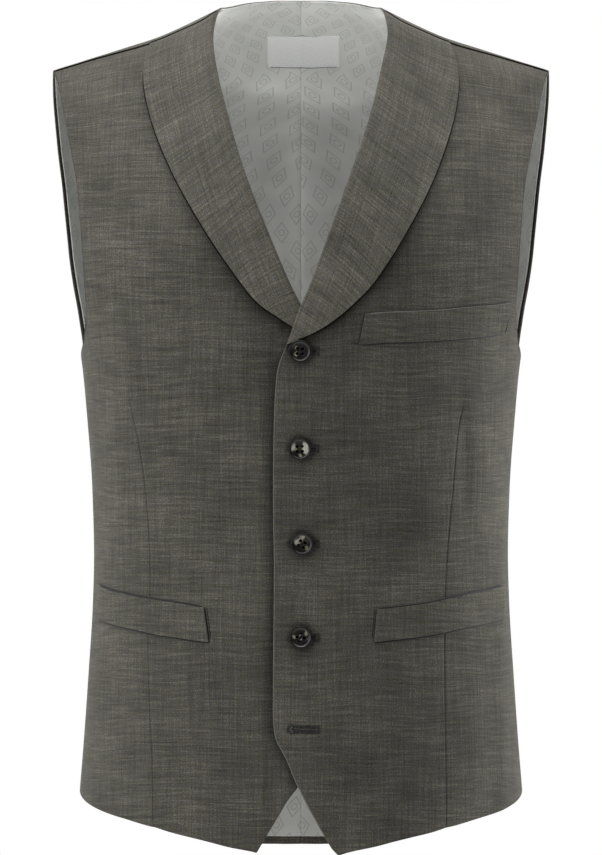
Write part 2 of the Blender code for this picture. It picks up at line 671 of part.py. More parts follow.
def make_label(shade):
    inside = WALL - BACK_WALL - SEAM_GAP - LINING_WALL - LABEL_GAP
    grid = strip_grid(LABEL_BOTTOM, LABEL_TOP, LABEL_CELLS, behind=True)
    return wall("label", grid, 1, lambda j, i: inside - LABEL_WALL, lambda j, i: inside, shade)


def turned(profile, sides):
    """Closed turned mesh from a profile that starts and ends on the axis."""
    mesh = bmesh.new()
    rings = []
    for step in profile:
        count = 1 if step.radius == 0 else sides
        rings.append([mesh.verts.new((step.radius * math.cos(math.tau * k / sides) * METRE,
                                      step.radius * math.sin(math.tau * k / sides) * METRE,
                                      step.height * METRE)) for k in range(count)])
    for low, high in zip(rings, rings[1:]):
        for k in range(sides):
            corners = [low[k % len(low)], low[(k + 1) % len(low)],
                       high[(k + 1) % len(high)], high[k % len(high)]]
            mesh.faces.new(list(dict.fromkeys(corners)))
    bmesh.ops.recalc_face_normals(mesh, faces=mesh.faces)
    data = bpy.data.meshes.new("button")
    mesh.to_mesh(data)
    mesh.free()
    return data


def button_mesh(shade):
    """One button with its four holes cut, to be shared by all of them."""
    blank = bpy.data.objects.new("button_blank", turned(BUTTON_PROFILE, BUTTON_SIDES))
    bpy.context.scene.collection.objects.link(blank)
    cutters = bmesh.new()
    for k in range(4):
        angle = math.radians(45 + 90 * k)
        place = Vector((math.cos(angle), math.sin(angle), 0)) * BUTTON_HOLE_OUT * METRE
        bmesh.ops.create_cone(cutters, cap_ends=True, segments=BUTTON_HOLE_SIDES,
                              radius1=BUTTON_HOLE_RADIUS * METRE, radius2=BUTTON_HOLE_RADIUS * METRE,
                              depth=DRILL_DEPTH * METRE, matrix=Matrix.Translation(place))
    data = bpy.data.meshes.new("button_holes")
    cutters.to_mesh(data)
    cutters.free()
    cutter = bpy.data.objects.new("button_holes", data)
    bpy.context.scene.collection.objects.link(cutter)
    cut = blank.modifiers.new("holes", "BOOLEAN")
    cut.operation = "DIFFERENCE"
    cut.object = cutter
    bpy.context.view_layer.update()
    finished = blank.evaluated_get(bpy.context.evaluated_depsgraph_get())
    made = bpy.data.meshes.new_from_object(finished)
    for thing in (blank, cutter):
        bpy.data.objects.remove(thing, do_unlink=True)
    made.name = "button"
    made.shade_smooth()
    made.set_sharp_from_angle(angle=math.radians(BUTTON_CREASE))
    made.materials.clear()
    made.materials.append(shade)
    return made


def make_button(name, mesh, z):
    azimuth, down = spot(BUTTON_X, z)
    normal = body_normal(azimuth, down)
    seat = cloth(azimuth, down, lap_lift("over", azimuth, down) + WALL + 2 * LAYER_GAP)
    made = bpy.data.objects.new(name, mesh)
    made.matrix_world = Matrix.Translation(seat * METRE) @ normal.to_track_quat("Z", "Y").to_matrix().to_4x4()
    bpy.context.scene.collection.objects.link(made)
    return made


def main():
    clear_scene()
    suiting = material("wool_suiting", COLOURS["suiting"], 0.85)
    satin = material("lining_satin", COLOURS["lining"], 0.45)
    horn = material("dark_horn", COLOURS["horn"], 0.3)
    label = material("label_satin", COLOURS["satin"], 0.4)
    make_front("front_left", "over", suiting)
    make_front("front_right", "under", suiting)
    for side_name, sign in (("left", 1), ("right", -1)):
        make_back("back_" + side_name, sign, suiting)
        make_lining("lining_" + side_name, sign, satin)
    make_collar("collar_left", "over", suiting)
    make_collar("collar_right", "under", suiting)
    for welt in WELTS:
        make_welt(welt, suiting)
    make_label(label)
    shared = button_mesh(horn)
    for number, z in enumerate(BUTTON_Z, start=1):
        make_button(f"button_{number}", shared, z)


main()
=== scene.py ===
# %% [markdown]
# # A suit waistcoat, filled out as if it were worn
# A waistcoat is a handful of flat cuts of cloth: two fronts, two backs, a lining, a shawl collar and
# three pocket welts. Sewn together and worn, they stand round the body as one thin, hollow wall.
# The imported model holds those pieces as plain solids. This lesson keeps their places and draws each
# again as a fine shell, with a rolled edge, seams, folds, a weave, stitches and real buttons.
# The frame comes first, because every new piece is measured against it.

# %% The frame
import json
import math

import bmesh
import bpy
import numpy as np
from mathutils import Matrix, Vector

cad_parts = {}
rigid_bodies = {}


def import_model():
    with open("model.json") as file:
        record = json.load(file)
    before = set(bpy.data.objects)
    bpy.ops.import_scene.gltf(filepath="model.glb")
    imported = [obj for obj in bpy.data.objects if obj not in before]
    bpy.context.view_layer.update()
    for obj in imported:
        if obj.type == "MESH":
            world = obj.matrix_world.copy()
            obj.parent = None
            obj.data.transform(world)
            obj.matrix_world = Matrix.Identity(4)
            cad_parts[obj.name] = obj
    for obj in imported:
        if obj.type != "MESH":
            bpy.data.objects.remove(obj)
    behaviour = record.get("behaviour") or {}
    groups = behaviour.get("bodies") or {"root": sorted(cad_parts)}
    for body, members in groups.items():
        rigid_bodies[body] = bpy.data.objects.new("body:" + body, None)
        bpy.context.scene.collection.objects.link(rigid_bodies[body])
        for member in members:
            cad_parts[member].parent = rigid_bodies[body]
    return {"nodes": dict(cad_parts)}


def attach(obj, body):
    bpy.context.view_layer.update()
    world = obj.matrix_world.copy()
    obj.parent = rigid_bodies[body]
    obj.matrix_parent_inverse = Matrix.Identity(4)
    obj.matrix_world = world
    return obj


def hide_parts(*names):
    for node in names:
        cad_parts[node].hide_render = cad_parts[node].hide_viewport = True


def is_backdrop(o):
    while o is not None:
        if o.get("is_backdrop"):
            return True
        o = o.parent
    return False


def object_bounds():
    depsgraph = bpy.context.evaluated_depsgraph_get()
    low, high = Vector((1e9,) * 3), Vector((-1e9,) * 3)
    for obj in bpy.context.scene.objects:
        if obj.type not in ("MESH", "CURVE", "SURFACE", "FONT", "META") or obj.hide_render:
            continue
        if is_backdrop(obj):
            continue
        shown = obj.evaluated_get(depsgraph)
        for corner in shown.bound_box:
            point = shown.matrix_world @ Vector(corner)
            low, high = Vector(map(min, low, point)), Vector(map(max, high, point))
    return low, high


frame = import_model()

cad_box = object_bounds()
bpy.ops.object.select_all(action="DESELECT")
MM = 0.001
print("frame:", len(frame["nodes"]), "nodes,", [round(side, 3) for side in cad_box[1] - cad_box[0]], "m")

# %% [markdown]
# ## The camera
# A shop photographs clothes from far away with a long lens, so that the sides don't shrink. Here
# the camera stands 20 m off, level with the middle of the front, and sees a field of 641 mm in
# height at the plane of the front.

# %% Camera
FIELD_HEIGHT = 641.25 * MM
CAMERA_DISTANCE = 20.0
FRONT_PLANE = -60 * MM
CAMERA_HEIGHT = -309.4 * MM
SENSOR = 36.0

lens = bpy.data.cameras.new("camera")
lens.sensor_width = SENSOR
lens.lens = SENSOR * CAMERA_DISTANCE / FIELD_HEIGHT
camera = bpy.data.objects.new("camera", lens)
camera.location = (0, FRONT_PLANE - CAMERA_DISTANCE, CAMERA_HEIGHT)
camera.rotation_euler = (math.radians(90), 0, 0)
bpy.context.scene.collection.objects.link(camera)
bpy.context.scene.camera = camera
bpy.context.scene.view_settings.view_transform = "Standard"
print("lens", round(lens.lens), "mm")

# %% [markdown]
# ## The body under the cloth
# The cloth takes its form from level rings, as a tailor's chart does: half width, depth in front
# and depth behind, all in millimetres. Above the chest it rolls over the shoulder line on a quarter
# circle. The same rings made the solids, so the shells fall on them.

# %% Rings and the shoulder line
SQUARENESS = 2.4              # exponent of a ring's outline: 2 is an ellipse, more is squarer
ROLL = 190.0                  # height over which the cloth rolls from the shoulder to full depth
FRONT_EASE = 0.30             # how much flatter than a quarter circle the front starts
SHOULDER_FORWARD = 8.0
NAPE_FULLNESS, NAPE_REACH = 0.4, (25.0, 130.0)    # the back rises more steeply to the nape
SHOULDER_HALF = 186.0
SIDE_SEAM = 96.0              # azimuth, in degrees from the centre front
ARC_PER_DEGREE = 2.6          # mean length of a degree of azimuth
UPWARD = 60.0                 # how much the rolled part faces up, when its outer side is told

RINGS = np.array([            # z, half width, front depth, back depth
    (-640, 168.5, 131.0, 116.0), (-590, 165.2, 129.0, 114.0), (-545, 161.6, 126.0, 110.0),
    (-495, 158.1, 123.0, 104.0), (-440, 154.7, 122.0, 98.0), (-405, 153.8, 124.0, 96.5),
    (-356, 155.1, 129.0, 99.0), (-300, 159.2, 135.0, 106.0), (-258, 163.4, 138.5, 112.0),
    (-224, 171.0, 140.0, 115.5), (-200, 178.5, 140.5, 117.5), (-176, 185.0, 140.5, 119.0),
    (-133, 192.0, 139.0, 120.0), (-97, 195.0, 136.0, 120.0), (-42, 197.0, 130.0, 120.0),
    (30, 197.0, 126.0, 120.0)])
SHOULDER_LINE = np.array([    # x, z
    (0, 24.5), (16, 22.9), (30, 18.9), (60.5, 4.3), (82.5, -6.7), (106, -17.2), (134, -26.3),
    (160, -34.6), (186, -42.7), (215, -53.0)])
SEAM_DROP = np.array([        # x, how far the shoulder seam lies below the shoulder line in front
    (58, 1.2), (75, 3.6), (95, 3.2), (120, 3.0), (150, 1.8), (190, 1.0)])


def smooth(table, x, column=1):
    """Reads a table with a monotone cubic through its rows, level past its ends."""
    xs, ys = table[:, 0], table[:, column]
    steps = np.diff(xs)
    slopes = np.diff(ys) / steps
    tangents = np.concatenate([slopes[:1], np.zeros(len(xs) - 2), slopes[-1:]])
    behind, ahead = slopes[:-1], slopes[1:]
    near, far = 2 * steps[1:] + steps[:-1], steps[1:] + 2 * steps[:-1]
    with np.errstate(divide="ignore", invalid="ignore"):
        mean = (near + far) / (near / behind + far / ahead)
    tangents[1:-1] = np.where(behind * ahead > 0, mean, 0)
    x = np.clip(x, xs[0], xs[-1])
    k = np.clip(np.searchsorted(xs, x, side="right") - 1, 0, len(steps) - 1)
    t = (x - xs[k]) / steps[k]
    return ((2 * t**3 - 3 * t**2 + 1) * ys[k] + (t**3 - 2 * t**2 + t) * tangents[k] * steps[k]
            + (3 * t**2 - 2 * t**3) * ys[k + 1] + (t**3 - t**2) * tangents[k + 1] * steps[k])


def fade(value, near, far):
    """1 up to near, 0 from far on, smooth between."""
    t = np.clip((far - value) / (far - near), 0, 1)
    return t * t * (3 - 2 * t)


print("chest ring:", [round(float(smooth(RINGS, -250, k)), 1) for k in (1, 2, 3)], "mm")

# %% [markdown]
# ## Naming a point of the cloth
# A point is named by its azimuth round the body and by "down", its distance below the shoulder line
# along the cloth. Past the shoulder line "down" goes below 0 and the point lies on the other side.
# `body` turns such a pair into a place, and works on whole arrays, so a fine shell takes no time.

# %% Body surface
def height_below(down):
    return np.where(down < ROLL * math.pi / 2, ROLL * (1 - np.cos(np.minimum(down / ROLL, math.pi / 2))),
                    ROLL + down - ROLL * math.pi / 2)


def down_at(height):
    rolled = ROLL * np.arccos(1 - np.clip(height, 0, ROLL) / ROLL)
    return np.where(height < ROLL, rolled, ROLL * math.pi / 2 + height - ROLL)


def ring_direction(azimuth):
    side, ahead = np.sin(np.radians(azimuth)), np.cos(np.radians(azimuth))
    reach = (np.abs(side) ** SQUARENESS + np.abs(ahead) ** SQUARENESS) ** (-1 / SQUARENESS)
    return side * reach, ahead * reach


def body(azimuth, down):
    azimuth, down = np.broadcast_arrays(np.asarray(azimuth, float), np.asarray(down, float))
    azimuth = np.where(down < 0, np.copysign(180, azimuth) - azimuth, azimuth)
    down = np.abs(down)
    side, ahead = ring_direction(azimuth)
    x = SHOULDER_HALF * side
    for _ in range(5):                          # the shoulder's height depends on x, and x on the height
        z = smooth(SHOULDER_LINE, np.abs(x)) - height_below(down)
        x = smooth(RINGS, z, 1) * side
    rolled = np.minimum(down / ROLL, math.pi / 2)
    nape = np.sin(rolled) ** (1 - NAPE_FULLNESS * fade(np.abs(x), *NAPE_REACH))
    share = np.where(ahead > 0, np.sin(rolled) * (1 - FRONT_EASE * np.cos(rolled) ** 2), nape)
    depth = np.where(ahead > 0, smooth(RINGS, z, 2), smooth(RINGS, z, 3))
    forward = SHOULDER_FORWARD * (x / SHOULDER_HALF) ** 2
    return np.stack([x, -forward * (1 - share) - depth * ahead * share, z], axis=-1)


def unit(vectors):
    return vectors / np.maximum(np.linalg.norm(vectors, axis=-1, keepdims=True), 1e-9)


def facing(azimuth, down):
    """Outward normal of the body surface."""
    around = body(azimuth + 0.5, down) - body(azimuth - 0.5, down)
    along = body(azimuth, down + 1.5) - body(azimuth, down - 1.5)
    normal = unit(np.cross(around, along))
    outward = body(azimuth, down) * (1, 1, 0)
    outward[..., 2] += np.where(np.abs(down) < ROLL, UPWARD, 0)
    return normal * np.where(np.sum(normal * outward, axis=-1, keepdims=True) > 0, 1, -1)


print("centre front at the waist:", np.round(body(0.0, 500.0), 1), "mm")

# %% [markdown]
# ## Folds
# Worn cloth is never quite smooth: it pulls from the buttons, dips under the arm and breaks softly
# over the back. Each fold is a soft ridge or trough with its own place, length, width, lean and
# height. The first eight are those of the solids, and the others are too fine for them.

# %% Folds
FOLDS = np.array([            # side, behind, x, z, length, width, lean in degrees, height
    (1, 0, 130, -312, 62, 11.0, 4, 1.5), (-1, 0, 130, -268, 26, 10.0, -4, 1.2),
    (1, 0, 151, -68, 22, 9.0, 30, -1.4), (-1, 0, 136, -52, 20, 8.0, -58, 1.2),
    (1, 1, 112, -330, 60, 16.0, 10, 1.6), (-1, 1, 108, -350, 66, 17.0, -8, 1.8),
    (1, 1, 60, -395, 70, 22.0, 78, -1.6), (-1, 1, 70, -410, 60, 20.0, -80, -1.4),
    (1, 0, 121, -330, 58, 4.5, 3, -1.1), (1, 0, 149, -470, 90, 4.5, 1, 0.8),
    (1, 0, 149, -575, 50, 5.0, -3, 0.9), (1, 0, 141, -535, 70, 5.5, 2, -0.6),
    (-1, 0, 128, -255, 20, 5.0, -6, 0.9), (-1, 0, 143, -330, 60, 7.0, 4, 0.7),
    (1, 0, 95, -140, 26, 8.0, -35, 0.5), (-1, 0, 96, -165, 32, 9.0, 38, 0.5),
    (1, 0, 62, -512, 34, 10.0, 52, -0.5), (-1, 0, 58, -545, 40, 9.0, -60, -0.5),
    (1, 0, 40, -362, 26, 9.0, 82, -0.45), (-1, 0, 44, -432, 24, 8.0, -80, -0.45),
    (1, 1, 40, -120, 46, 12.0, 74, -0.8), (-1, 1, 46, -138, 40, 11.0, -70, -0.9),
    (1, 1, 118, -210, 40, 9.0, -24, 0.9), (-1, 1, 121, -230, 34, 8.0, 28, 0.8),
    (1, 1, 30, -455, 44, 11.0, 68, 0.7), (-1, 1, 36, -480, 38, 12.0, -72, 0.8),
    (1, 1, 88, -540, 50, 12.0, 12, 0.8), (-1, 1, 80, -560, 46, 11.0, -14, 0.7)])


def soft_patches(table, x, z):
    """Sum of soft oval patches; a row has x, z, length, width, lean from upright in degrees, height."""
    total = np.zeros(x.shape)
    for middle_x, middle_z, length, width, lean, height in table:
        across, along = x - middle_x, z - middle_z
        turned = across * math.cos(math.radians(lean)) + along * math.sin(math.radians(lean))
        run = along * math.cos(math.radians(lean)) - across * math.sin(math.radians(lean))
        total += height * np.exp(-(turned / width) ** 2 - (run / length) ** 2)
    return total


def fold_height(place):
    x, y, z = place[..., 0], place[..., 1], place[..., 2]
    return sum(((x * side > 0) & ((y > 0) == bool(behind))) * soft_patches([patch], np.abs(x), z)
               for side, behind, *patch in FOLDS)


def cloth(azimuth, down, lift):
    """Places on the cloth, lifted off the body along its normal, in millimetres."""
    place = body(azimuth, down)
    return place + facing(azimuth, down) * (lift + fold_height(place))[..., None]


print(len(FOLDS), "folds, the highest", FOLDS[:, -1].max(), "mm")

# %% [markdown]
# ## Chalk lines
# A tailor chalks smooth lines through a few marks. `spot` finds a mark that is given as seen from
# the front, `curve` draws a smooth line through marks, and `patch` fills four such lines with a
# grid, whose hem and neck bend dies out towards the middle of the piece.

# %% Marks, lines and grids
BOW_FADE = 2.5


def down_to(x, z):
    return down_at(smooth(SHOULDER_LINE, np.abs(x)) - z)


def spot(x, z, behind=False):
    x, z = np.asarray(x, float), np.asarray(z, float)
    side = np.minimum(np.abs(x) / smooth(RINGS, z, 1), 0.9999)
    azimuth = np.degrees(np.arctan2(side, (1 - side ** SQUARENESS) ** (1 / SQUARENESS)))
    azimuth = 180 - azimuth if behind else azimuth
    return np.stack([np.copysign(azimuth, x), down_to(x, z)], axis=-1)


def spot_round(azimuth, z):
    azimuth, z = np.broadcast_arrays(np.asarray(azimuth, float), np.asarray(z, float))
    x = smooth(RINGS, z, 1) * ring_direction(azimuth)[0]
    return np.stack([azimuth, down_to(x, z)], axis=-1)


def spot_on_seam(x, gap):
    """On the shoulder seam, gap below it in front (over 0) or behind (under 0)."""
    x = np.asarray(x, float)
    drop = smooth(SEAM_DROP, x)
    azimuth = spot(x, smooth(SHOULDER_LINE, x) - drop)[..., 0]
    return np.stack([azimuth, down_at(drop) + gap], axis=-1)


def marks(table, behind=False):
    return spot(table[:, 0], table[:, 1], behind)


def marks_round(table):
    return spot_round(table[:, 0], table[:, 1])


def lengths(spots):
    """Distance along a row of spots, from 0."""
    steps = np.hypot(np.diff(spots[:, 0]) * ARC_PER_DEGREE, np.diff(spots[:, 1]))
    return np.concatenate([[0], np.cumsum(steps)])


def curve(points, shares):
    """Centripetal Catmull-Rom line through the points, read at shares of its length."""
    points = np.asarray(points, float)
    ends = np.vstack([2 * points[0] - points[1], points, 2 * points[-1] - points[-2]])
    fine = []
    for four in zip(ends, ends[1:], ends[2:], ends[3:]):
        knots = np.cumsum([0.0] + [max(lengths(np.array(pair))[1], 1e-6) ** 0.5
                                   for pair in zip(four, four[1:])])
        t = (knots[1] + (knots[2] - knots[1]) * np.arange(16) / 16)[:, None]
        level = list(four)
        for low, reach in ((0, 1), (0, 2), (1, 1)):
            level = [one + (two - one) * (t - knots[low + k]) / (knots[low + k + reach] - knots[low + k])
                     for k, (one, two) in enumerate(zip(level, level[1:]))]
        fine.append(level[0])
    fine = np.vstack(fine + [points[-1:]])
    run = lengths(fine)
    return np.stack([np.interp(np.asarray(shares) * run[-1], run, fine[:, k]) for k in (0, 1)], axis=-1)


def even(cells):
    return np.linspace(0, 1, cells + 1)


def join(*lines):
    return np.vstack([lines[0]] + [line[1:] for line in lines[1:]])


def patch(bottom, top, left, right, across):
    u, v = across[None, :, None], even(len(left) - 1)[:, None, None]

    def bow(edge):
        return (edge - edge[0] - (edge[-1] - edge[0]) * across[:, None])[None]

    return (left[:, None] * (1 - u) + right[:, None] * u
            + bow(bottom) * (1 - v) ** BOW_FADE + bow(top) * v ** BOW_FADE)


print("neck point at", np.round(spot_on_seam(62.0, 0.0), 1))

# %% [markdown]
# ## The grain
# A weave looks right only if it lies on the cloth as it did on the cutting table. So each shell gets
# a UV map in metres of flat cloth: across is the distance round the body at one height, and along is
# the distance up the cloth, so that weft threads stay level as they run round the chest.

# %% Flat coordinates
LEVEL_STEP, TURN_STEP = 15.0, 2.0
LEVELS = np.arange(-645.0, 31.0, LEVEL_STEP)
TURNS = np.arange(0.0, 181.0, TURN_STEP)
LEVEL_CHEST = -235.0          # below this the cloth hangs straight down
ring_points = body(TURNS[None], spot_round(TURNS[None], LEVELS[:, None])[..., 1])
steps = np.linalg.norm(np.diff(ring_points, axis=1), axis=-1)
ROUND = np.concatenate([np.zeros((len(LEVELS), 1)), np.cumsum(steps, axis=1)], axis=1)


def flat_place(spots):
    """(across, along) of spots on the flat cloth, in metres; across is 0 at the centre front."""
    azimuth, down = spots[..., 0], spots[..., 1]
    place = body(azimuth, down)
    level = np.clip((place[..., 2] - LEVELS[0]) / LEVEL_STEP, 0, len(LEVELS) - 1.001)
    turned = np.abs(np.where(azimuth > 180, 360 - azimuth, azimuth))
    turn = np.clip(turned / TURN_STEP, 0, len(TURNS) - 1.001)
    j, i = level.astype(int), turn.astype(int)
    v, u = level - j, turn - i
    across = ((ROUND[j, i] * (1 - u) + ROUND[j, i + 1] * u) * (1 - v)
              + (ROUND[j + 1, i] * (1 - u) + ROUND[j + 1, i + 1] * u) * v)
    top = smooth(SHOULDER_LINE, np.abs(place[..., 0]))
    along = LEVEL_CHEST + down_at(top - LEVEL_CHEST) - down
    return np.stack([np.copysign(across, azimuth), along], axis=-1) * MM


print("half chest round the body:", round(float(ROUND[:, -1][LEVELS < LEVEL_CHEST][-1])), "mm")

# %% [markdown]
# ## A shell of cloth
# Cloth could be a plane with a Solidify modifier, but a garment's seam edges must meet exactly. So
# the shell is two grids, the inner and the outer face, joined round the rim. A small Bevel then
# turns the square rim into the soft roll that a turned and pressed edge has.

# %% Shells
RIM_ANGLE = math.radians(62)  # edges sharper than this are rolled


def mesh_object(name, points, faces, finishes):
    """New object at the origin; points in millimetres, finishes its materials."""
    data = bpy.data.meshes.new(name)
    data.from_pydata((np.asarray(points) * MM).tolist(), [], faces)
    for finish in finishes:
        data.materials.append(finish)
    made = bpy.data.objects.new(name, data)
    bpy.context.scene.collection.objects.link(made)
    return made


def apply_modifiers(made):
    bpy.ops.object.select_all(action="DESELECT")
    bpy.context.view_layer.objects.active = made
    made.select_set(True)
    for modifier in list(made.modifiers):
        bpy.ops.object.modifier_apply(modifier=modifier.name)
    made.select_set(False)


def grid_faces(rows, columns, start=0):
    corner = (np.arange(rows - 1)[:, None] * columns + np.arange(columns - 1)[None]).ravel() + start
    return np.stack([corner, corner + 1, corner + columns + 1, corner + columns], axis=1)


def rim_faces(rows, columns):
    index = np.arange(rows * columns).reshape(rows, columns)
    rim = np.concatenate([index[0], index[1:, -1], index[-1, -2::-1], index[-2:0:-1, 0]])
    following = np.roll(rim, -1)
    half = rows * columns
    return np.stack([rim, following, following + half, rim + half], axis=1)


def shell(name, inner, outer, flat, finishes, lining=None, roll=0.7, shade=(0, 0)):
    """Closed wall between two grids of points; lining marks the inner faces of the second finish.

    The shade of each point of the inner and the outer face is kept as an attribute that the
    cloths read: 1 is black, and below 0 is paler.
    """
    rows, columns = inner.shape[:2]
    half = rows * columns
    sides = [grid_faces(rows, columns), grid_faces(rows, columns, half), rim_faces(rows, columns)]
    faces = np.vstack(sides).tolist()
    made = mesh_object(name, np.vstack([inner.reshape(-1, 3), outer.reshape(-1, 3)]), faces, finishes)
    data = made.data
    layer = data.uv_layers.new(name="cut")
    corners = np.empty(len(data.loops), int)
    data.loops.foreach_get("vertex_index", corners)
    layer.data.foreach_set("uv", flat.reshape(-1, 2)[corners % half].astype(np.float32).ravel())
    dark = np.concatenate([np.broadcast_to(face, (rows, columns)).ravel() for face in shade])
    data.attributes.new("shade", "FLOAT", "POINT").data.foreach_set("value", dark.astype(np.float32))
    if lining is not None:
        index = np.zeros(len(faces), int)
        index[:len(sides[0])] = lining.ravel()
        data.polygons.foreach_set("material_index", index)
    edit = bmesh.new()
    edit.from_mesh(data)
    bmesh.ops.recalc_face_normals(edit, faces=edit.faces)
    edit.to_mesh(data)
    edit.free()
    if roll:
        bevel = made.modifiers.new("rolled edge", "BEVEL")
        bevel.width = roll * MM
        bevel.segments = 3
        bevel.limit_method = "ANGLE"
        bevel.angle_limit = RIM_ANGLE
        bevel.use_clamp_overlap = False
        apply_modifiers(made)
    made.data.shade_smooth()
    return made


print("shell maker ready")

# %% [markdown]
# ## Adding material nodes
# Every finish is a small tree of nodes. One helper adds a node with its settings and links, and one
# turns the hex colours of a swatch book into the linear colours that the shader wants.

# %% Material helpers
def linear(hexcode):
    """sRGB hex to linear RGBA."""
    values = [int(hexcode[k:k + 2], 16) / 255 for k in (1, 3, 5)]
    return (*[v / 12.92 if v <= 0.04045 else ((v + 0.055) / 1.055) ** 2.4 for v in values], 1.0)


def node(tree, kind, inputs=None, **settings):
    """Adds a node: settings are its properties, and an input is a value or another node's output."""
    made = tree.nodes.new(kind)
    for name, value in settings.items():
        setattr(made, name, value)
    for socket, value in (inputs or {}).items():
        if isinstance(value, bpy.types.NodeSocket):
            tree.links.new(value, made.inputs[socket])
        else:
            made.inputs[socket].default_value = value
    return made.outputs[0]


def new_material(name, **settings):
    """Material with a Principled shader; settings name its sockets with _ for a space."""
    made = bpy.data.materials.new(name)
    made.use_nodes = True
    shader = made.node_tree.nodes["Principled BSDF"]
    for socket, value in settings.items():
        shader.inputs[socket.replace("_", " ")].default_value = value
    return made, made.node_tree, shader


def ramp(tree, factor, stops):
    """Colour ramp over (position, hex) stops."""
    colour = node(tree, "ShaderNodeValToRGB", {0: factor})
    elements = colour.node.color_ramp.elements
    while len(elements) < len(stops):
        elements.new(0.5)
    for element, (position, hexcode) in zip(elements, stops):
        element.position = position
        element.color = linear(hexcode)
    return colour


def calc(tree, operation, *terms):
    """A Math node over numbers and other nodes' outputs."""
    return node(tree, "ShaderNodeMath", dict(enumerate(terms)), operation=operation)


def noise(tree, place, scale, detail=0.0, roughness=0.5):
    return node(tree, "ShaderNodeTexNoise", {"Vector": place, "Scale": scale, "Detail": detail,
                                             "Roughness": roughness}, noise_dimensions="2D")


def shaded(tree, colour):
    """The colour darkened by the shell's own shade, or made paler where that is below 0."""
    shade = node(tree, "ShaderNodeAttribute", attribute_name="shade").node.outputs["Fac"]
    return node(tree, "ShaderNodeVectorMath", {0: colour, "Scale": calc(tree, "SUBTRACT", 1.0, shade)},
                operation="SCALE")


def flat_mm(tree):
    """The cut's own UV map, in millimetres."""
    uv = node(tree, "ShaderNodeUVMap", uv_map="cut")
    return node(tree, "ShaderNodeMapping", {0: uv, "Scale": (1000, 1000, 1000)})


def object_place(tree):
    return node(tree, "ShaderNodeTexCoord").node.outputs["Object"]


def wave(tree, place, scale, distortion, direction):
    return node(tree, "ShaderNodeTexWave", {"Vector": place, "Scale": scale, "Distortion": distortion},
                bands_direction=direction)


def dress(tree, shader, colour, height, strength, depth):
    """Gives the shader its colour and, over strength 0, a bump of a depth in millimetres."""
    tree.links.new(colour, shader.inputs["Base Color"])
    if strength:
        bump = node(tree, "ShaderNodeBump", {"Strength": strength, "Distance": depth * MM, "Height": height})
        tree.links.new(bump, shader.inputs["Normal"])


def speckled_material(name, dark, light, scale, detail=1.0, bump=0.0, **settings):
    """Plain finish, mottled between two colours."""
    made, tree, shader = new_material(name, **settings)
    speckle = node(tree, "ShaderNodeTexNoise",
                   {"Vector": object_place(tree), "Scale": scale, "Detail": detail})
    dress(tree, shader, ramp(tree, speckle, [(0.4, dark), (0.6, light)]), speckle, bump, 0.05)
    return made


print("charcoal swatch in linear light:", [round(v, 3) for v in linear("#4a463e")[:3]])

# %% [markdown]
# ## Suiting
# The cloth is a worsted wool, plain woven from mixed yarns: each thread is spun from darker and
# lighter fibres, so fine streaks run level with the weft and, fainter, upright with the warp. Now
# and then a thicker slub shows. Every thread has a number, its place divided by the pitch, and a
# random value of that number shifts its streaks, so that neighbours never start at the same place.
# Blue-grey and olive fibres fleck it, and a little sheen stands for the nap.

# %% Suiting material
THREAD, SLUB = 0.62, 1.15     # pitch of the threads and of the few thicker ones, in mm
WEFT_STREAK, WARP_STREAK = 34.0, 46.0
WANDER = 2.4                  # how far threads stray from straight, in mm
YARN = [(0.0, "#2b2a26"), (0.40, "#504e48"), (0.60, "#636059"), (1.0, "#8b877c")]
FIBRES = [(0.62, "#4c4f5c"), (0.55, "#5f5738")]     # flecks: how close, and their colour


def threads(tree, run, across, pitch, streak, seed):
    """Streaks along threads that lie side by side at a pitch."""
    number = calc(tree, "FLOOR", calc(tree, "MULTIPLY_ADD", across, 1 / pitch, seed))
    chance = node(tree, "ShaderNodeTexWhiteNoise", {"W": number}, noise_dimensions="1D")
    along = calc(tree, "MULTIPLY_ADD", chance, 300.0, calc(tree, "DIVIDE", run, streak))
    place = node(tree, "ShaderNodeCombineXYZ", {0: along, 1: calc(tree, "MULTIPLY", chance, 71.0)})
    return noise(tree, place, 1.0, 2.0, 0.62)


def suiting_material():
    made, tree, shader = new_material("worsted_wool_suiting", Roughness=0.88, Sheen_Weight=0.30,
                                      Sheen_Roughness=0.42, Sheen_Tint=linear("#b9b7b0"),
                                      Specular_IOR_Level=0.28)
    mm = flat_mm(tree)
    stray = node(tree, "ShaderNodeVectorMath", {0: noise(tree, mm, 0.016).node.outputs["Color"],
                                                1: (0, WANDER * 2, 0), 2: mm}, operation="MULTIPLY_ADD")
    split = node(tree, "ShaderNodeSeparateXYZ", {0: stray})
    across, along = split, split.node.outputs[1]
    parts = [                 # streaks or flecks, and their share
        (threads(tree, across, along, THREAD, WEFT_STREAK, 0.0), 0.70),
        (threads(tree, along, across, THREAD, WARP_STREAK, 0.5), 0.62),
        (threads(tree, across, along, SLUB, WEFT_STREAK, 0.3), 0.55),
        (noise(tree, mm, 1.0, 1.0), 0.80),
        (noise(tree, mm, 0.02, 1.0), 0.35)]
    value = 0.5 - sum(share for part, share in parts) / 2
    for part, share in parts:
        value = calc(tree, "MULTIPLY_ADD", part, share, value)
    colour = ramp(tree, value, YARN)
    for scale, hexcode in FIBRES:
        fibres = node(tree, "ShaderNodeMapRange", {0: noise(tree, mm, scale, 2.0), 1: 0.48, 2: 0.70, 4: 0.5})
        colour = node(tree, "ShaderNodeMixRGB", {0: fibres, 1: colour, 2: linear(hexcode)})
    weave = calc(tree, "MULTIPLY", *[wave(tree, mm, math.pi / (10 * THREAD), 0.5, axis) for axis in "XY"])
    dress(tree, shader, shaded(tree, colour), calc(tree, "MULTIPLY_ADD", weave, 0.4, value), 0.3, 0.2)
    return made


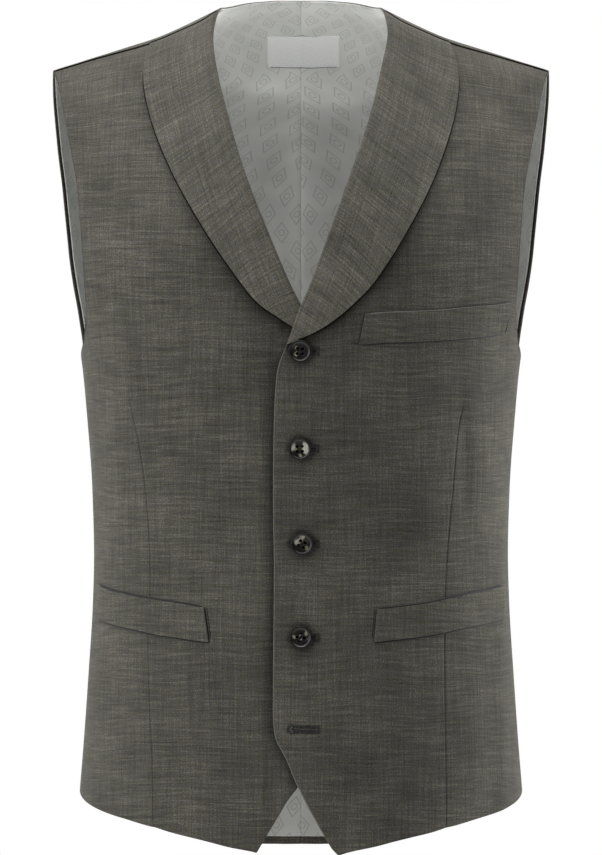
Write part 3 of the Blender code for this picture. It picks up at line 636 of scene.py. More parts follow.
suiting = suiting_material()
print("suiting:", len(suiting.node_tree.nodes), "nodes")

# %% [markdown]
# ## Lining
# The lining is a viscose satin: long floats on the face catch the light, so it is smooth and shines
# softly in broad bands. A tone-on-tone figure is woven in, here a plain half-drop repeat of open
# lozenges and small rings, drawn by measuring how far a point lies from each outline.

# %% Lining material
REPEAT = (22.0, 28.0)         # pitch of the figure, in mm
LOZENGE = (5.4, 7.8)          # half width and half height
RING_RADIUS = 2.2
LINE_WIDTH = 1.05
FIGURE_STRENGTH = 0.62


def lining_material():
    made, tree, shader = new_material("viscose_satin_lining", Roughness=0.36, Sheen_Weight=0.2,
                                      Sheen_Roughness=0.3, Specular_IOR_Level=0.6)
    mm = flat_mm(tree)

    def line(distance, half_width):
        """1 on the line and 0 past it, with a soft edge."""
        return node(tree, "ShaderNodeMapRange", {0: calc(tree, "ABSOLUTE", distance), 1: half_width * 0.4,
                                                 2: half_width, 3: 1.0, 4: 0.0})

    split = node(tree, "ShaderNodeSeparateXYZ", {0: mm})
    figures = []
    for drop in (0.0, 0.5):
        x, y = [calc(tree, "MULTIPLY_ADD", calc(tree, "FRACT", calc(
            tree, "MULTIPLY_ADD", split.node.outputs[k], 1 / REPEAT[k], drop)), REPEAT[k], -REPEAT[k] / 2)
            for k in (0, 1)]
        wide, high = [calc(tree, "MULTIPLY", calc(tree, "ABSOLUTE", value), 1 / LOZENGE[k])
                      for k, value in enumerate((x, y))]
        lozenge = calc(tree, "SUBTRACT", calc(tree, "ADD", wide, high), 1.0)
        place = node(tree, "ShaderNodeCombineXYZ", {0: x, 1: y})
        radius = node(tree, "ShaderNodeVectorMath", {0: place}, operation="LENGTH").node.outputs["Value"]
        ring = calc(tree, "SUBTRACT", radius, RING_RADIUS)
        figures.append(calc(tree, "MAXIMUM", line(lozenge, LINE_WIDTH / LOZENGE[0] / 1.6),
                            line(ring, LINE_WIDTH / 2)))
    figure = calc(tree, "MAXIMUM", *figures)
    ground = ramp(tree, noise(tree, mm, 0.03, 2.0), [(0.35, "#b4b5b1"), (0.65, "#bdbebb")])
    colour = node(tree, "ShaderNodeMixRGB", {0: calc(tree, "MULTIPLY", figure, FIGURE_STRENGTH),
                                             1: ground, 2: linear("#8c8d88")})
    floats = wave(tree, mm, math.pi / 8, 0.6, "DIAGONAL")
    dress(tree, shader, shaded(tree, colour), calc(tree, "MULTIPLY_ADD", floats, 0.3, figure), 0.12, 0.12)
    return made


satin = lining_material()
print("lining:", len(satin.node_tree.nodes), "nodes")

# %% [markdown]
# ## Horn, thread and label tape
# The buttons are polished horn: nearly black, with tan streaks and clouds where the horn is thin,
# under a clear gloss. Each has its own pale patches. Thread is a two-ply with a slight shine. The
# label is a pale woven satin tape, left bare. Cords of dark, dull wool are painted shadow.

# %% Horn, thread and tape materials
BUTTONS = [                   # x, z, turn in degrees
    (-0.7, -252.0, -4.0), (-0.9, -324.8, 2.0), (0.7, -396.0, -24.0), (-0.2, -466.5, 36.0)]
HORN = [(0.40, "#171613"), (0.53, "#2b2924"), (0.58, "#736d58"), (0.84, "#cfccc0")]
HORN_DARK = [-0.10, -0.08, -0.08, -0.14]      # how far each button's horn leans to its dark parts
HORN_PATCHES = [              # button, x and z from its middle, reach, strength: where its horn is pale
    (1, -2.6, 2.4, 2.6, 0.22), (1, -2.9, -2.6, 2.6, 0.20), (2, -3.9, 0.4, 3.8, 0.24),
    (2, 4.2, 2.4, 3.4, 0.40), (2, 4.4, -2.0, 3.6, 0.40), (2, 0.8, -5.4, 2.2, 0.20),
    (3, -3.2, 0.6, 4.0, 0.44), (3, -0.4, 4.2, 3.2, 0.34), (3, 3.3, -3.6, 3.2, 0.26),
    (4, -5.8, 0.2, 2.4, 0.18), (4, 3.4, 3.4, 2.6, 0.17)]


def horn_material():
    made, tree, shader = new_material("polished_horn", Roughness=0.36, Coat_Weight=0.25, Coat_Roughness=0.2,
                                      IOR=1.5)
    place = object_place(tree)
    turned = node(tree, "ShaderNodeMapping", {0: place, "Rotation": (0.3, 0.5, 0.6), "Scale": (130, 130, 90)})
    cloud = node(tree, "ShaderNodeTexNoise",
                 {"Vector": turned, "Scale": 1.0, "Detail": 3.0, "Distortion": 1.2})
    pale = node(tree, "ShaderNodeAttribute", attribute_name="pale").node.outputs["Fac"]
    value = calc(tree, "ADD", cloud, pale)
    front = node(tree, "ShaderNodeVectorMath", {0: place, 1: (1 / MM, 0, 1 / MM)}, operation="MULTIPLY")
    for number, x, z, reach, strength in HORN_PATCHES:
        middle_x, middle_z, turn = BUTTONS[number - 1]
        away = node(tree, "ShaderNodeVectorMath", {0: front, 1: (middle_x + x, 0, middle_z + z)},
                    operation="DISTANCE").node.outputs["Value"]
        patch_here = node(tree, "ShaderNodeMapRange",
                          {0: away, 1: 0.4 * reach, 2: reach, 3: strength, 4: 0.0})
        value = calc(tree, "ADD", value, patch_here)
    streak = node(tree, "ShaderNodeTexNoise", {"Vector": turned, "Scale": 6.0, "Detail": 2.0})
    dress(tree, shader, ramp(tree, value, HORN), streak, 0.1, 0.05)
    return made


def thread_material(name, dark, light):
    return speckled_material(name, dark, light, 1500.0, bump=0.3, Roughness=0.6, Sheen_Weight=0.2,
                             Specular_IOR_Level=0.4)


def tape_material():
    made, tree, shader = new_material("woven_satin_tape", Roughness=0.4, Sheen_Weight=0.3,
                                      Specular_IOR_Level=0.5)
    mm = flat_mm(tree)
    colour = ramp(tree, noise(tree, mm, 1.2, 2.0), [(0.3, "#c6c7c5"), (0.7, "#d4d5d3")])
    dress(tree, shader, colour, wave(tree, mm, math.pi / 9, 0.3, "Y"), 0.25, 0.1)
    return made


horn, tape = horn_material(), tape_material()
dark_thread = thread_material("dark_sewing_thread", "#191714", "#2d2b26")
grey_thread = thread_material("grey_sewing_thread", "#6f706b", "#8b8c87")
pale_thread = thread_material("pale_sewing_thread", "#b4b5b2", "#cccdca")
gimp_cord = thread_material("buttonhole_gimp_cord", "#57544a", "#6d6a5e")
# The buttonhole's cut is drawn as a strip of painted shade.
cut_shadow = thread_material("buttonhole_cut_painted_shadow", "#0b0a09", "#151311")
# Dark thread for the welts' stitches, also the painted shadow in their seams, ends and mouths.
seam_thread_and_shadow = thread_material("dark_thread_and_painted_seam_shadow", "#0d0c0b", "#161412")
# Pale cords of painted highlight on pressed edges.
painted_highlight = thread_material("pale_painted_edge_highlight", "#69665e", "#817e75")
# Dark, dull wool for cords of painted shadow in seams and under edges.
painted_shadow_wool = speckled_material("painted_shadow_wool_cord", "#1d1b18", "#292722", 900.0, Roughness=1.0,
                              Specular_IOR_Level=0.0)
print("finishes:", [finish.name for finish in bpy.data.materials])

# %% [markdown]
# ## The fronts
# Each front runs from its pointed tip up the cutaway, the front edge and the neck to the shoulder.
# A long dart from the hem takes in the waist: there the two sides of the cut are sewn together and
# sink into a fine groove. The left front laps over the right and so lies a wall higher near the
# buttons. Inside, a facing of suiting backs the front edge, and lining covers the rest.

# %% Front tables
WALL, BACK_WALL, LINING_WALL, COLLAR_WALL, WELT_WALL = 1.8, 1.2, 1.0, 1.5, 1.2
SEAM_GAP = 0.05               # the sewn edges of two shells all but touch
LAYER_GAP = 0.45
UNDERARM_Z = -262.0
NECK_POINT_X = 62.0
EDGE_INSET = 1.2              # how far the front's neck edge hides inside the collar's roll
SIGN = {"over": 1, "under": -1}       # the left front lies over the right one
LAP_LIFT, LAP_REACH = WALL + LAYER_GAP, (22.0, 62.0)
LAP_EDGE_X, LAP_DENT, LAP_DENT_REACH = 19.5, 2.2, (-1.0, 12.0)    # on the mirrored side
TIP_LIFT, TIP_REACH, TIP_CENTRE = COLLAR_WALL + LAYER_GAP + 0.3, (22.0, 66.0), (0.0, -236.0)
FINE, FRONT_FINE = 5, 7       # cells of a shell for each cell of its solid
FRONT_ROWS, FRONT_COLUMNS = (5, 14, 13), (8, 8)
DART_DEPTH, DART_WIDTH = 0.9, 0.55
DART_STEPS = np.array([0.4, 0.8, 1.4, 2.6])   # extra columns beside the dart, in mm
DART_STEP_GAP = 1.5                           # from the outermost of them to the next column
FACING_WIDTH, FACING_HEM = 58.0, 14.0

HEM_INNER = np.array([(50.2, -624.0), (79.2, -616.8), (107.5, -609.0), (131.0, -602.6), (149.5, -596.5)])
HEM_OUTER = np.array([(68, -592.0), (79, -586.5), (SIDE_SEAM, -579.0)])
FRONT_ARMHOLE = np.array([
    (90, -262.0), (84, -260.0), (78, -255.0), (73, -247.5), (68.6, -237.0), (63.8, -222.0), (60.0, -202.0),
    (57.0, -176.0), (55.6, -133.0), (57.7, -97.0), (59.8, -76.0), (62.2, -55.0)])
TIP = {"over": np.array([(27.8, -629.6)]), "under": np.array([(33.0, -627.5)])}
CUTAWAY = {
    "over": np.array([(22.9, -624.5), (17.6, -615.0), (10.5, -602.3), (-2.0, -578.3), (-10.5, -558.0),
                      (-14.6, -550.0)]),
    "under": np.array([(27.3, -617.5), (17.4, -600.8), (9.8, -588.0), (2.2, -578.0), (-6.0, -563.0),
                       (-12.0, -552.0)])}
FRONT_EDGE = {
    "over": np.array([(-18.2, -543.0), (-20.0, -532.0), (-20.3, -500.0), (-19.6, -415.5), (-20.3, -360.8),
                      (-19.9, -318.0), (-18.8, -285.0), (-16.5, -264.0), (-10.5, -247.0)]),
    "under": np.array([(-16.5, -543.0), (-19.0, -530.0), (-19.5, -500.0), (-19.5, -415.5), (-19.5, -360.8),
                       (-19.3, -318.0), (-18.5, -285.0), (-16.5, -264.0), (-11.5, -247.0)])}
NECK_EDGE = {
    "over": np.array([(-4.5, -229.0), (-0.8, -218.3), (6.4, -201.8), (21.8, -158.6), (37.5, -114.0),
                      (50.3, -75.0), (59.8, -36.0), (64.0, -15.0)]),
    "under": np.array([(-5.5, -229.0), (-0.8, -218.3), (7.4, -201.8), (22.6, -165.0), (41.0, -117.0),
                       (53.3, -75.0), (61.5, -42.0), (64.9, -18.0)])}
DART = {
    "over": np.array([(107.3, -560.0), (106.8, -524.0), (106.4, -463.0), (108.3, -404.0), (112.3, -357.8),
                      (117.4, -306.0), (120.0, -291.8), (122.0, -200.0), (123.0, -110.0)]),
    "under": np.array([(110.0, -560.0), (112.3, -510.0), (113.0, -463.0), (111.5, -420.0), (114.0, -368.0),
                       (119.3, -324.8), (126.4, -284.0), (127.0, -200.0), (126.0, -110.0)])}
COLLAR_EDGE = {
    "over": np.array([(-9.5, -246.6), (-2.5, -243.8), (15.0, -235.3), (28.5, -225.8), (41.8, -213.8),
                      (53.3, -201.8), (79.2, -161.3), (100.5, -118.5), (113.8, -78.0), (117.4, -52.0),
                      (115.0, -33.5)]),
    "under": np.array([(-9.0, -243.0), (-2.0, -239.5), (7.5, -233.3), (18.8, -225.8), (33.0, -215.3),
                       (58.5, -181.5), (80.3, -147.0), (96.5, -117.0), (110.5, -82.5), (117.0, -53.3),
                       (116.3, -36.0)])}
DART_HEM_X = {"over": 107.6, "under": 109.0}
DART_SHOULDER_X = 124.0
UNDERARM_ON_EDGE = 0.6        # where on the front edge the grid turns from waist to chest
DIMPLE_DEPTH, DIMPLE_RADIUS = 0.9, 12.0       # each button pulls the cloth in round it
LAP_TOP_Z = (-262.0, -240.0)                  # the lap's shade ends between these
DENT_TOP_Z = (-262.0, -236.0)                 # and its dent between these
NOTCH_Z = -598.0                              # the fronts part below this
GROOVE_TOP_ROW = 6                            # row of DART above which the dart is closed
FRONT_ON_BOLT = {"over": (0.9, 0.75), "under": (0.2, 0.75)}   # where on the cloth each front was cut, in m

SHADE_LAP, SHADE_LAP_REACH = 0.60, 4.6        # beside the lapped edge: depth and reach in mm
SHADE_TUCK = (12.5, -232.0, 8.0, 0.90)        # x, z, reach, depth: the right collar goes under here
SHADE_BUTTON, SHADE_BUTTON_REACH, BUTTON_RIM = 0.55, 3.2, 8.6
SHADE_COLLAR, SHADE_COLLAR_REACH = (0.46, 0.88), (4.2, 9.0)   # at the shoulder, and at the collar's foot
SHADE_FOOT_Z = (-230.0, -60.0)
SHADE_TOP_Z = (-62.0, -40.0)          # the collar lies close to the front above this
SOFT_SHADE = {                # where a front turns from the light (over 0) or to it, laid out like folds
    "over": [(60, -552, 50, 46, 0, 0.22), (58, -330, 50, 46, 0, 0.12), (150, -540, 60, 26, 0, 0.09),
             (138, -150, 30, 24, 0, 0.08), (153, -52, 14, 24, 0, -0.14)],
    "under": [(70, -530, 50, 50, 0, 0.12), (52, -424, 28, 30, 0, -0.26), (132, -109, 34, 22, 0, 0.07),
              (64, -226, 22, 20, 0, -0.10), (26, -497, 42, 8, 0, 0.24), (26, -438, 26, 8, 0, -0.16)]}

# %% Fronts
def over_edge_x(z):
    """Where the left front's edge runs, at a height."""
    line = np.vstack([CUTAWAY["over"], FRONT_EDGE["over"]])
    return np.interp(z, line[:, 1], line[:, 0])


def front_shade(side, spots):
    """Soft dark beside what lies on a front: the lap, the buttons and the collar's outer edge."""
    place = body(spots[..., 0], spots[..., 1])
    x, z = place[..., 0], place[..., 2]
    total = np.zeros(x.shape)
    if side == "under":
        away = np.maximum(x + over_edge_x(z), 0)
        lap = SHADE_LAP * np.exp(-(away / SHADE_LAP_REACH) ** 1.4) * fade(z, *LAP_TOP_Z) * (z > NOTCH_Z)
        tuck_x, tuck_z, reach, depth = SHADE_TUCK
        total = np.maximum(lap, depth * np.exp(-(np.hypot(x - tuck_x, z - tuck_z) / reach) ** 2))
    else:
        for button_x, button_z, turn in BUTTONS:
            away = np.maximum(np.hypot(x - button_x, z - button_z) - BUTTON_RIM, 0)
            total = np.maximum(total, SHADE_BUTTON * np.exp(-away / SHADE_BUTTON_REACH))
    away = np.full(x.shape, np.inf)
    for mark in body(*curve(marks(COLLAR_EDGE[side]), even(120)).T):
        away = np.minimum(away, np.hypot(x - mark[0], z - mark[2]))
    foot = fade(z, *SHADE_FOOT_Z)
    depth, reach = [top + (low - top) * foot for top, low in (SHADE_COLLAR, SHADE_COLLAR_REACH)]
    total = np.maximum(total, depth * fade(z, *SHADE_TOP_Z) * np.exp(-away / reach))
    return total + (1 - total) * soft_patches(SOFT_SHADE[side], x, z)


def lap_lift(side, spots):
    """How much higher the left front, and what lies on it, runs than the right front, which it presses in."""
    place = body(spots[..., 0], spots[..., 1])
    x, z = place[..., 0], place[..., 2]
    if side == "under":
        return -LAP_DENT * fade(x - LAP_EDGE_X, *LAP_DENT_REACH) * fade(z, *DENT_TOP_Z)
    distance = np.hypot(x - TIP_CENTRE[0], z - TIP_CENTRE[1])
    lifted = LAP_LIFT * fade(x, *LAP_REACH) + TIP_LIFT * fade(distance, *TIP_REACH)
    for button_x, button_z, turn in BUTTONS:
        away = np.hypot(x - button_x, z - button_z)
        lifted = lifted - DIMPLE_DEPTH * np.exp(-(away / DIMPLE_RADIUS) ** 2)
    return lifted


def front_grid(side):
    """Grid of spots of one front, and each column's distance from the dart in mm."""
    rows = [cells * FRONT_FINE for cells in FRONT_ROWS]
    cutaway = np.vstack([marks(TIP[side]), marks(CUTAWAY[side])])
    edge = np.vstack([cutaway[-1:], marks(FRONT_EDGE[side])])
    low, high = FRONT_EDGE[side][5], FRONT_EDGE[side][6]
    underarm = spot(*(low + (high - low) * UNDERARM_ON_EDGE))[None]
    tucked = marks(NECK_EDGE[side] + (EDGE_INSET, 0))
    neck_point = spot_on_seam(NECK_POINT_X + EDGE_INSET, SEAM_GAP)[None]
    left = join(curve(cutaway, even(rows[0])),
                curve(np.vstack([edge[edge[:, 1] > underarm[0, 1]], underarm]), even(rows[1])),
                curve(np.vstack([underarm, edge[edge[:, 1] < underarm[0, 1]], tucked, neck_point]),
                      even(rows[2])))

    half_gap = SEAM_GAP / 2 / ARC_PER_DEGREE
    hem = np.vstack([marks(TIP[side]), marks(HEM_INNER), marks_round(HEM_OUTER)])
    hem[-1, 0] -= half_gap
    under = spot_round(SIDE_SEAM, UNDERARM_Z) - (half_gap, 0)
    shoulder_tip = spot_on_seam(SHOULDER_HALF, SEAM_GAP)[None]
    armhole = np.vstack([under[None], marks_round(FRONT_ARMHOLE), shoulder_tip])
    seam_part = even(rows[0] + rows[1])[:, None]
    right = join(hem[-1] + (under - hem[-1]) * seam_part, curve(armhole, even(rows[2])))

    dart_hem = spot(DART_HEM_X[side], smooth(HEM_INNER, DART_HEM_X[side]))[None]
    dart_top = spot_on_seam(DART_SHOULDER_X, SEAM_GAP)[None]
    dart = curve(np.vstack([dart_hem, marks(DART[side]), dart_top]), even(sum(rows)))
    middle = sum(rows) // 2
    before = np.vstack([hem[hem[:, 0] < dart_hem[0, 0] - 0.5], dart_hem])
    beyond = np.vstack([dart_hem, hem[hem[:, 0] > dart_hem[0, 0] + 0.5]])
    parts, offsets = [], []
    for first, last, hem_part, near_x, far_x in (
            (left, dart, before, NECK_POINT_X + EDGE_INSET, DART_SHOULDER_X),
            (dart, right, beyond, DART_SHOULDER_X, SHOULDER_HALF)):
        width = lengths(np.array([first[middle], last[middle]]))[1]
        plain = even(FRONT_COLUMNS[len(parts)] * FRONT_FINE) * (width - DART_STEPS[-1] - DART_STEP_GAP)
        distance = np.concatenate([plain, width - DART_STEPS[::-1], [width]])
        if parts:
            distance = width - distance[::-1]
        across = distance / width
        offsets.append(distance if parts else distance - width)
        seam = spot_on_seam(near_x + (far_x - near_x) * even(8), SEAM_GAP)
        parts.append(patch(curve(hem_part, across), curve(seam, across), first, last, across))
    return np.concatenate([parts[0], parts[1][:, 1:]], axis=1), np.concatenate([offsets[0], offsets[1][1:]])


def walls(spots, sign, inner, outer):
    return [cloth(spots[..., 0] * sign, spots[..., 1], lift) for lift in (inner, outer)]


def make_front(name, side):
    spots, from_dart = front_grid(side)
    dart_top = -marks(DART[side])[GROOVE_TOP_ROW, 1]
    groove = DART_DEPTH * np.exp(-(from_dart / DART_WIDTH) ** 2)[None]
    groove = groove * fade(-spots[..., 1], dart_top - 6, dart_top + 2)
    base = lap_lift(side, spots)
    flat = flat_place(spots)
    inner, outer = walls(spots, SIGN[side], base, base + WALL - groove)
    cell = flat[:-1, :-1]
    lined = (cell[..., 0] - flat[:-1, :1, 0] > FACING_WIDTH * MM) & (
        cell[..., 1] - flat[:1, :-1, 1] > FACING_HEM * MM)
    return shell(name, inner, outer, flat * (SIGN[side], 1) + FRONT_ON_BOLT[side], [suiting, satin], lined,
                 roll=0.88, shade=(0, front_shade(side, spots)))


left_front = make_front("left_front", "over")
right_front = make_front("right_front", "under")
print("fronts:", [len(made.data.polygons) for made in (left_front, right_front)], "faces")

# %% [markdown]
# ## The backs and their lining
# Two backs meet in a seam down the centre. Their grid is stretched between that seam, the neck, the
# shoulder seam, the armhole, the side seam and the hem. The lining is the same cut, a little smaller,
# and it hangs loose inside, so it has folds of its own that the back doesn't follow. The back is
# further from the camera than the fronts and so looks a little smaller. To make up for that, its
# nape is 2.5 mm higher than the solid's, and the middle of its hem 2.7 mm lower.

# %% Back tables
BACK_NECK = np.array([(0, 11.5), (12, 11.4), (26, 10.7), (43, 8.6), (55, 5.7)])
BACK_HEM = np.array([(180, -624.5), (174, -624.5), (168, -624.1), (162, -622.0), (145, -609.2),
                     (125, -596.8), (110, -588.8), (SIDE_SEAM, -579.0)])
BACK_ARMHOLE = np.array([
    (99.5, -260.0), (102.5, -254.5), (105.0, -244.0), (107.3, -230.0), (112.0, -200.0), (115.4, -170.0),
    (116.8, -133.0), (115.6, -97.0), (114.4, -66.0), (114.2, -52.0)])
BACK_COLUMNS, BACK_ROWS = 12, (12, 17)
NECK_COLUMNS = 6
BACK_MIDDLE_Z = -330.0
NECK_CROWDING = 1.3           # rows crowd towards the neck, where the back rolls over most
LINING_HEM = 6.0
LINING_INSET = 1.0
NECK_RISE = 1.3               # the lining is drawn up over the back's neck edge
LINING_SHEEN = 0.06           # how much paler each mm of a fold makes the satin
LINING_SHADE_AND_SHEEN = [              # painted shade (over 0) and painted sheen in soft bands on the satin, laid out like folds
    (-3, -125, 110, 7, 0, -0.12), (0, -48, 46, 12, 90, -0.18), (-28, -125, 34, 15, 0, 0.15),
    (24, -128, 32, 13, 0, 0.09), (-18, -87, 36, 7, 90, -0.15), (26, -84, 18, 9, 90, 0.06),
    (0, -600, 40, 26, 0, -0.17), (-170, -160, 60, 14, 0, -0.28)]
BACK_INSIDE_SHADE = 0.22
HEM_ROW = 2                   # the lining leaves out this many rows of the back's grid
ARM_ROW = 20                  # row above the underarm at which the armhole's inset is measured
FREE_FROM, FREE_TO = 4.0, 40.0        # mm below the neck over which the lining comes free
SEAM_DEPTH, SEAM_COLUMNS = 0.35, 0.9  # the lining's centre seam
BACK_ON_BOLT = {1: (1.6, 0.75), -1: (2.4, 0.75)}
LINING_ON_BOLT = (0.013, 0.75)
LINING_FOLDS = np.array([     # x, z, length, width, lean from upright, depth to the inside
    (-22, -56, 42, 8, 84, 2.2), (34, -64, 34, 8, 96, 1.8), (4, -92, 50, 9, 90, -1.6),
    (-26, -130, 34, 7, 78, 1.8), (26, -142, 30, 8, 100, 1.6), (2, -178, 40, 9, 86, 1.4),
    (-12, -216, 60, 5, 8, 1.2), (16, -236, 50, 6, -10, 1.2), (-70, -330, 70, 12, 14, 1.2),
    (64, -360, 66, 13, -12, 1.2), (-20, -602, 26, 9, 70, 0.8), (24, -590, 24, 8, 108, 0.8)])


# %% Backs and lining
def back_grid():
    """Half a back, rows from the hem up, columns from the centre seam outwards."""
    rows = [cells * FINE for cells in BACK_ROWS]
    half_gap = SEAM_GAP / 2 / ARC_PER_DEGREE
    centre = 180 - half_gap
    hem = marks_round(BACK_HEM)
    hem[0, 0], hem[-1, 0] = centre, SIDE_SEAM + half_gap
    under = spot_round(SIDE_SEAM, UNDERARM_Z) + (half_gap, 0)
    neck = marks(BACK_NECK, behind=True)
    neck[0, 0] = centre
    shoulder = spot_on_seam(NECK_POINT_X + (SHOULDER_HALF - NECK_POINT_X) * even(6), -SEAM_GAP) * (-1, -1)
    shoulder = shoulder + (180, 0)
    top = join(curve(np.vstack([neck, shoulder[:1]]), even(NECK_COLUMNS * FINE)),
               curve(shoulder, even((BACK_COLUMNS - NECK_COLUMNS) * FINE)))
    armhole = np.vstack([under[None], marks_round(BACK_ARMHOLE), shoulder[-1:]])
    right = join(hem[-1] + (under - hem[-1]) * even(rows[0])[:, None], curve(armhole, even(rows[1])))
    middle = np.array([centre, spot_round(180, BACK_MIDDLE_Z)[1]])
    closing = (1 - (1 - even(rows[1])) ** NECK_CROWDING)[:, None]
    left = join(hem[0] + (middle - hem[0]) * even(rows[0])[:, None], middle + (neck[0] - middle) * closing)
    return patch(curve(hem, even(BACK_COLUMNS * FINE)), top, left, right, even(BACK_COLUMNS * FINE))


BACK = back_grid()


def make_back(name, sign):
    flat = flat_place(BACK) * (sign, 1) + BACK_ON_BOLT[sign]
    inner, outer = walls(BACK, sign, WALL - BACK_WALL, WALL)
    return shell(name, inner, outer, flat, [suiting], roll=0.5, shade=(BACK_INSIDE_SHADE, 0))


def make_lining(name, sign):
    spots = BACK[HEM_ROW:].copy()
    spots[0, :, 1] = BACK[0, :, 1] - LINING_HEM
    arm = BACK_ROWS[0] * FINE - HEM_ROW
    step = lengths(spots[arm + ARM_ROW, -2:])[1]
    spots[arm:, -1] += (spots[arm:, -2] - spots[arm:, -1]) * LINING_INSET / step
    spots[-5:, :NECK_COLUMNS * FINE, 1] -= NECK_RISE * even(4)[:, None]
    place = body(spots[..., 0] * sign, spots[..., 1])
    droop = soft_patches(LINING_FOLDS, place[..., 0], place[..., 2])
    droop = (droop - droop.min()) * fade(-lengths(spots[:, 0])[::-1], -FREE_TO, -FREE_FROM)[:, None]
    seam = SEAM_DEPTH * np.exp(-(np.arange(spots.shape[1]) / SEAM_COLUMNS) ** 2)[None]
    outside = WALL - BACK_WALL - SEAM_GAP - droop
    inner, outer = walls(spots, sign, outside - LINING_WALL + seam, outside)
    # Painted shade and painted sheen of the satin: soft bands, and paler where a fold hangs further from the
    # back.
    shade = soft_patches(LINING_SHADE_AND_SHEEN, place[..., 0], place[..., 2]) - LINING_SHEEN * (droop - droop.mean())
    return shell(name, inner, outer, flat_place(spots) * (sign, 1) + LINING_ON_BOLT, [satin], roll=0.35,
                 shade=(shade, 0))


left_back, right_back = make_back("left_back", 1), make_back("right_back", -1)
left_lining = make_lining("left_back_lining", 1)
right_lining = make_lining("right_back_lining", -1)
print("backs:", len(left_back.data.polygons), "faces, linings:", len(left_lining.data.polygons))

# %% [markdown]
# ## The shawl collar
# The collar is the facing itself, rolled outwards at the neck edge and pressed back on the front. So
# its cross-section is a hairpin: a strip inside the front, a round roll over the neck edge, and the
# leaf on the outside, slightly crowned by the padding under it, with a crisp outer edge.

# %% Collar
COLLAR_TOP_X = {"over": 110.5, "under": 112.5}
COLLAR_ROWS, LEAF_COLUMNS = 130, 26
COLLAR_CROWN = 1.1
COLLAR_PAINTED_LIGHT = {"over": -0.42, "under": -0.32}     # painted light: the leaf is painted paler lower down
COLLAR_FULL_WIDTH = 60.0
COLLAR_SHEET = 0.8            # the rolled cloth itself
ROLL_ANGLES = np.radians([180, 155, 130, 105, 80, 55, 30, 12])
INSIDE_STRIP = np.array([12.0, 8.0, 4.5])     # columns of the strip inside the front, in mm from the edge
SEWN_DROP, SEWN_REACH = 1.05, 9.0     # the leaf is caught flat in the shoulder seam
ROLL_SHARE = 0.3              # of the leaf's width that its roll may take, where it is narrow
STRIP_SHARE = 0.8
THINNEST = 0.05
COLLAR_ON_BOLT = {"over": (3.2, 0.1), "under": (4.0, 0.1)}


def running(points, axis):
    """Distance along rows or columns of points, from 0."""
    steps = np.linalg.norm(np.diff(points, axis=axis), axis=-1)
    return np.cumsum(np.insert(steps, 0, 0, axis=axis), axis=axis)


def make_collar(name, side):
    fold = curve(np.vstack([marks(FRONT_EDGE[side][-1:]), marks(NECK_EDGE[side]),
                            spot_on_seam(NECK_POINT_X, SEAM_GAP)[None]]), even(COLLAR_ROWS))
    edge = curve(np.vstack([marks(COLLAR_EDGE[side]), spot_on_seam(COLLAR_TOP_X[side], SEAM_GAP)[None]]),
                 even(COLLAR_ROWS))
    top = spot_on_seam(NECK_POINT_X + (COLLAR_TOP_X[side] - NECK_POINT_X) * even(8), SEAM_GAP)
    columns = even(LEAF_COLUMNS)
    leaf = patch(curve(np.array([fold[0], edge[0]]), columns), curve(top, columns), fold, edge, columns)
    width = np.hypot((edge - fold)[:, 0] * ARC_PER_DEGREE, (edge - fold)[:, 1])
    radius = (WALL + LAYER_GAP + COLLAR_WALL + COLLAR_SHEET) / 2
    inset = np.minimum(radius, ROLL_SHARE * width)
    outward = (edge - fold) / np.maximum(width, 1e-6)[:, None]     # spot step for one mm across the leaf

    across = inset[:, None] + (width - inset)[:, None] * columns[None]
    leaf_spots = np.stack([np.stack([np.interp(across[j], width[j] * columns, leaf[j, :, k]) for k in (0, 1)],
                                    axis=-1) for j in range(COLLAR_ROWS + 1)])
    strip = np.minimum(INSIDE_STRIP[None], STRIP_SHARE * width[:, None])
    strip_spots = fold[:, None] + outward[:, None] * strip[..., None]
    roll_spots = np.repeat(leaf_spots[:, :1], len(ROLL_ANGLES), axis=1)
    spots = np.concatenate([strip_spots, roll_spots, leaf_spots], axis=1)
    angles = np.concatenate([np.full(len(INSIDE_STRIP), math.pi), ROLL_ANGLES, np.zeros(LEAF_COLUMNS + 1)])
    first = len(INSIDE_STRIP) + len(ROLL_ANGLES)                   # the leaf's first column

    fullness = np.minimum(width / COLLAR_FULL_WIDTH, 1)
    crown = np.zeros(spots.shape[:2])
    crown[:, first:] = COLLAR_CROWN * fullness[:, None] * np.sin(math.pi * columns)[None] ** 0.8
    sewn = np.exp(-((spots[..., 1] - spots[-1:, :, 1]) / SEWN_REACH) ** 2)
    crown = crown * (1 - sewn) - SEWN_DROP * sewn * (1 + np.cos(angles)) / 2
    middle = lap_lift(side, spots) + WALL + LAYER_GAP + COLLAR_WALL - radius + crown
    centre = cloth(spots[..., 0] * SIGN[side], spots[..., 1], middle)
    normal = facing(spots[..., 0] * SIGN[side], spots[..., 1])
    inwards = unit(centre[:, first] - centre[:, first + 4])[:, None]
    inner, outer = [
        centre + normal * ((radius - depth) * np.cos(angles))[None, :, None]
        + inwards * (np.maximum(inset - depth, THINNEST)[:, None] * np.sin(angles)[None])[..., None]
        for depth in (COLLAR_SHEET, 0.0)]
    run, along = running(outer, 1), running(outer[:, first], 0)
    cut = np.stack([run - run[:, first:first + 1], np.broadcast_to(along[:, None], run.shape)], axis=-1) * MM
    shade = np.zeros(run.shape)
    # Painted light: the leaf is made paler towards its foot.
    shade[:, first:] = COLLAR_PAINTED_LIGHT[side] * fade(body(leaf[..., 0], leaf[..., 1])[..., 2], *SHADE_FOOT_Z)
    return shell(name, inner, outer, cut * (SIGN[side], 1) + COLLAR_ON_BOLT[side], [suiting], roll=0.25,
                 shade=(0, shade))


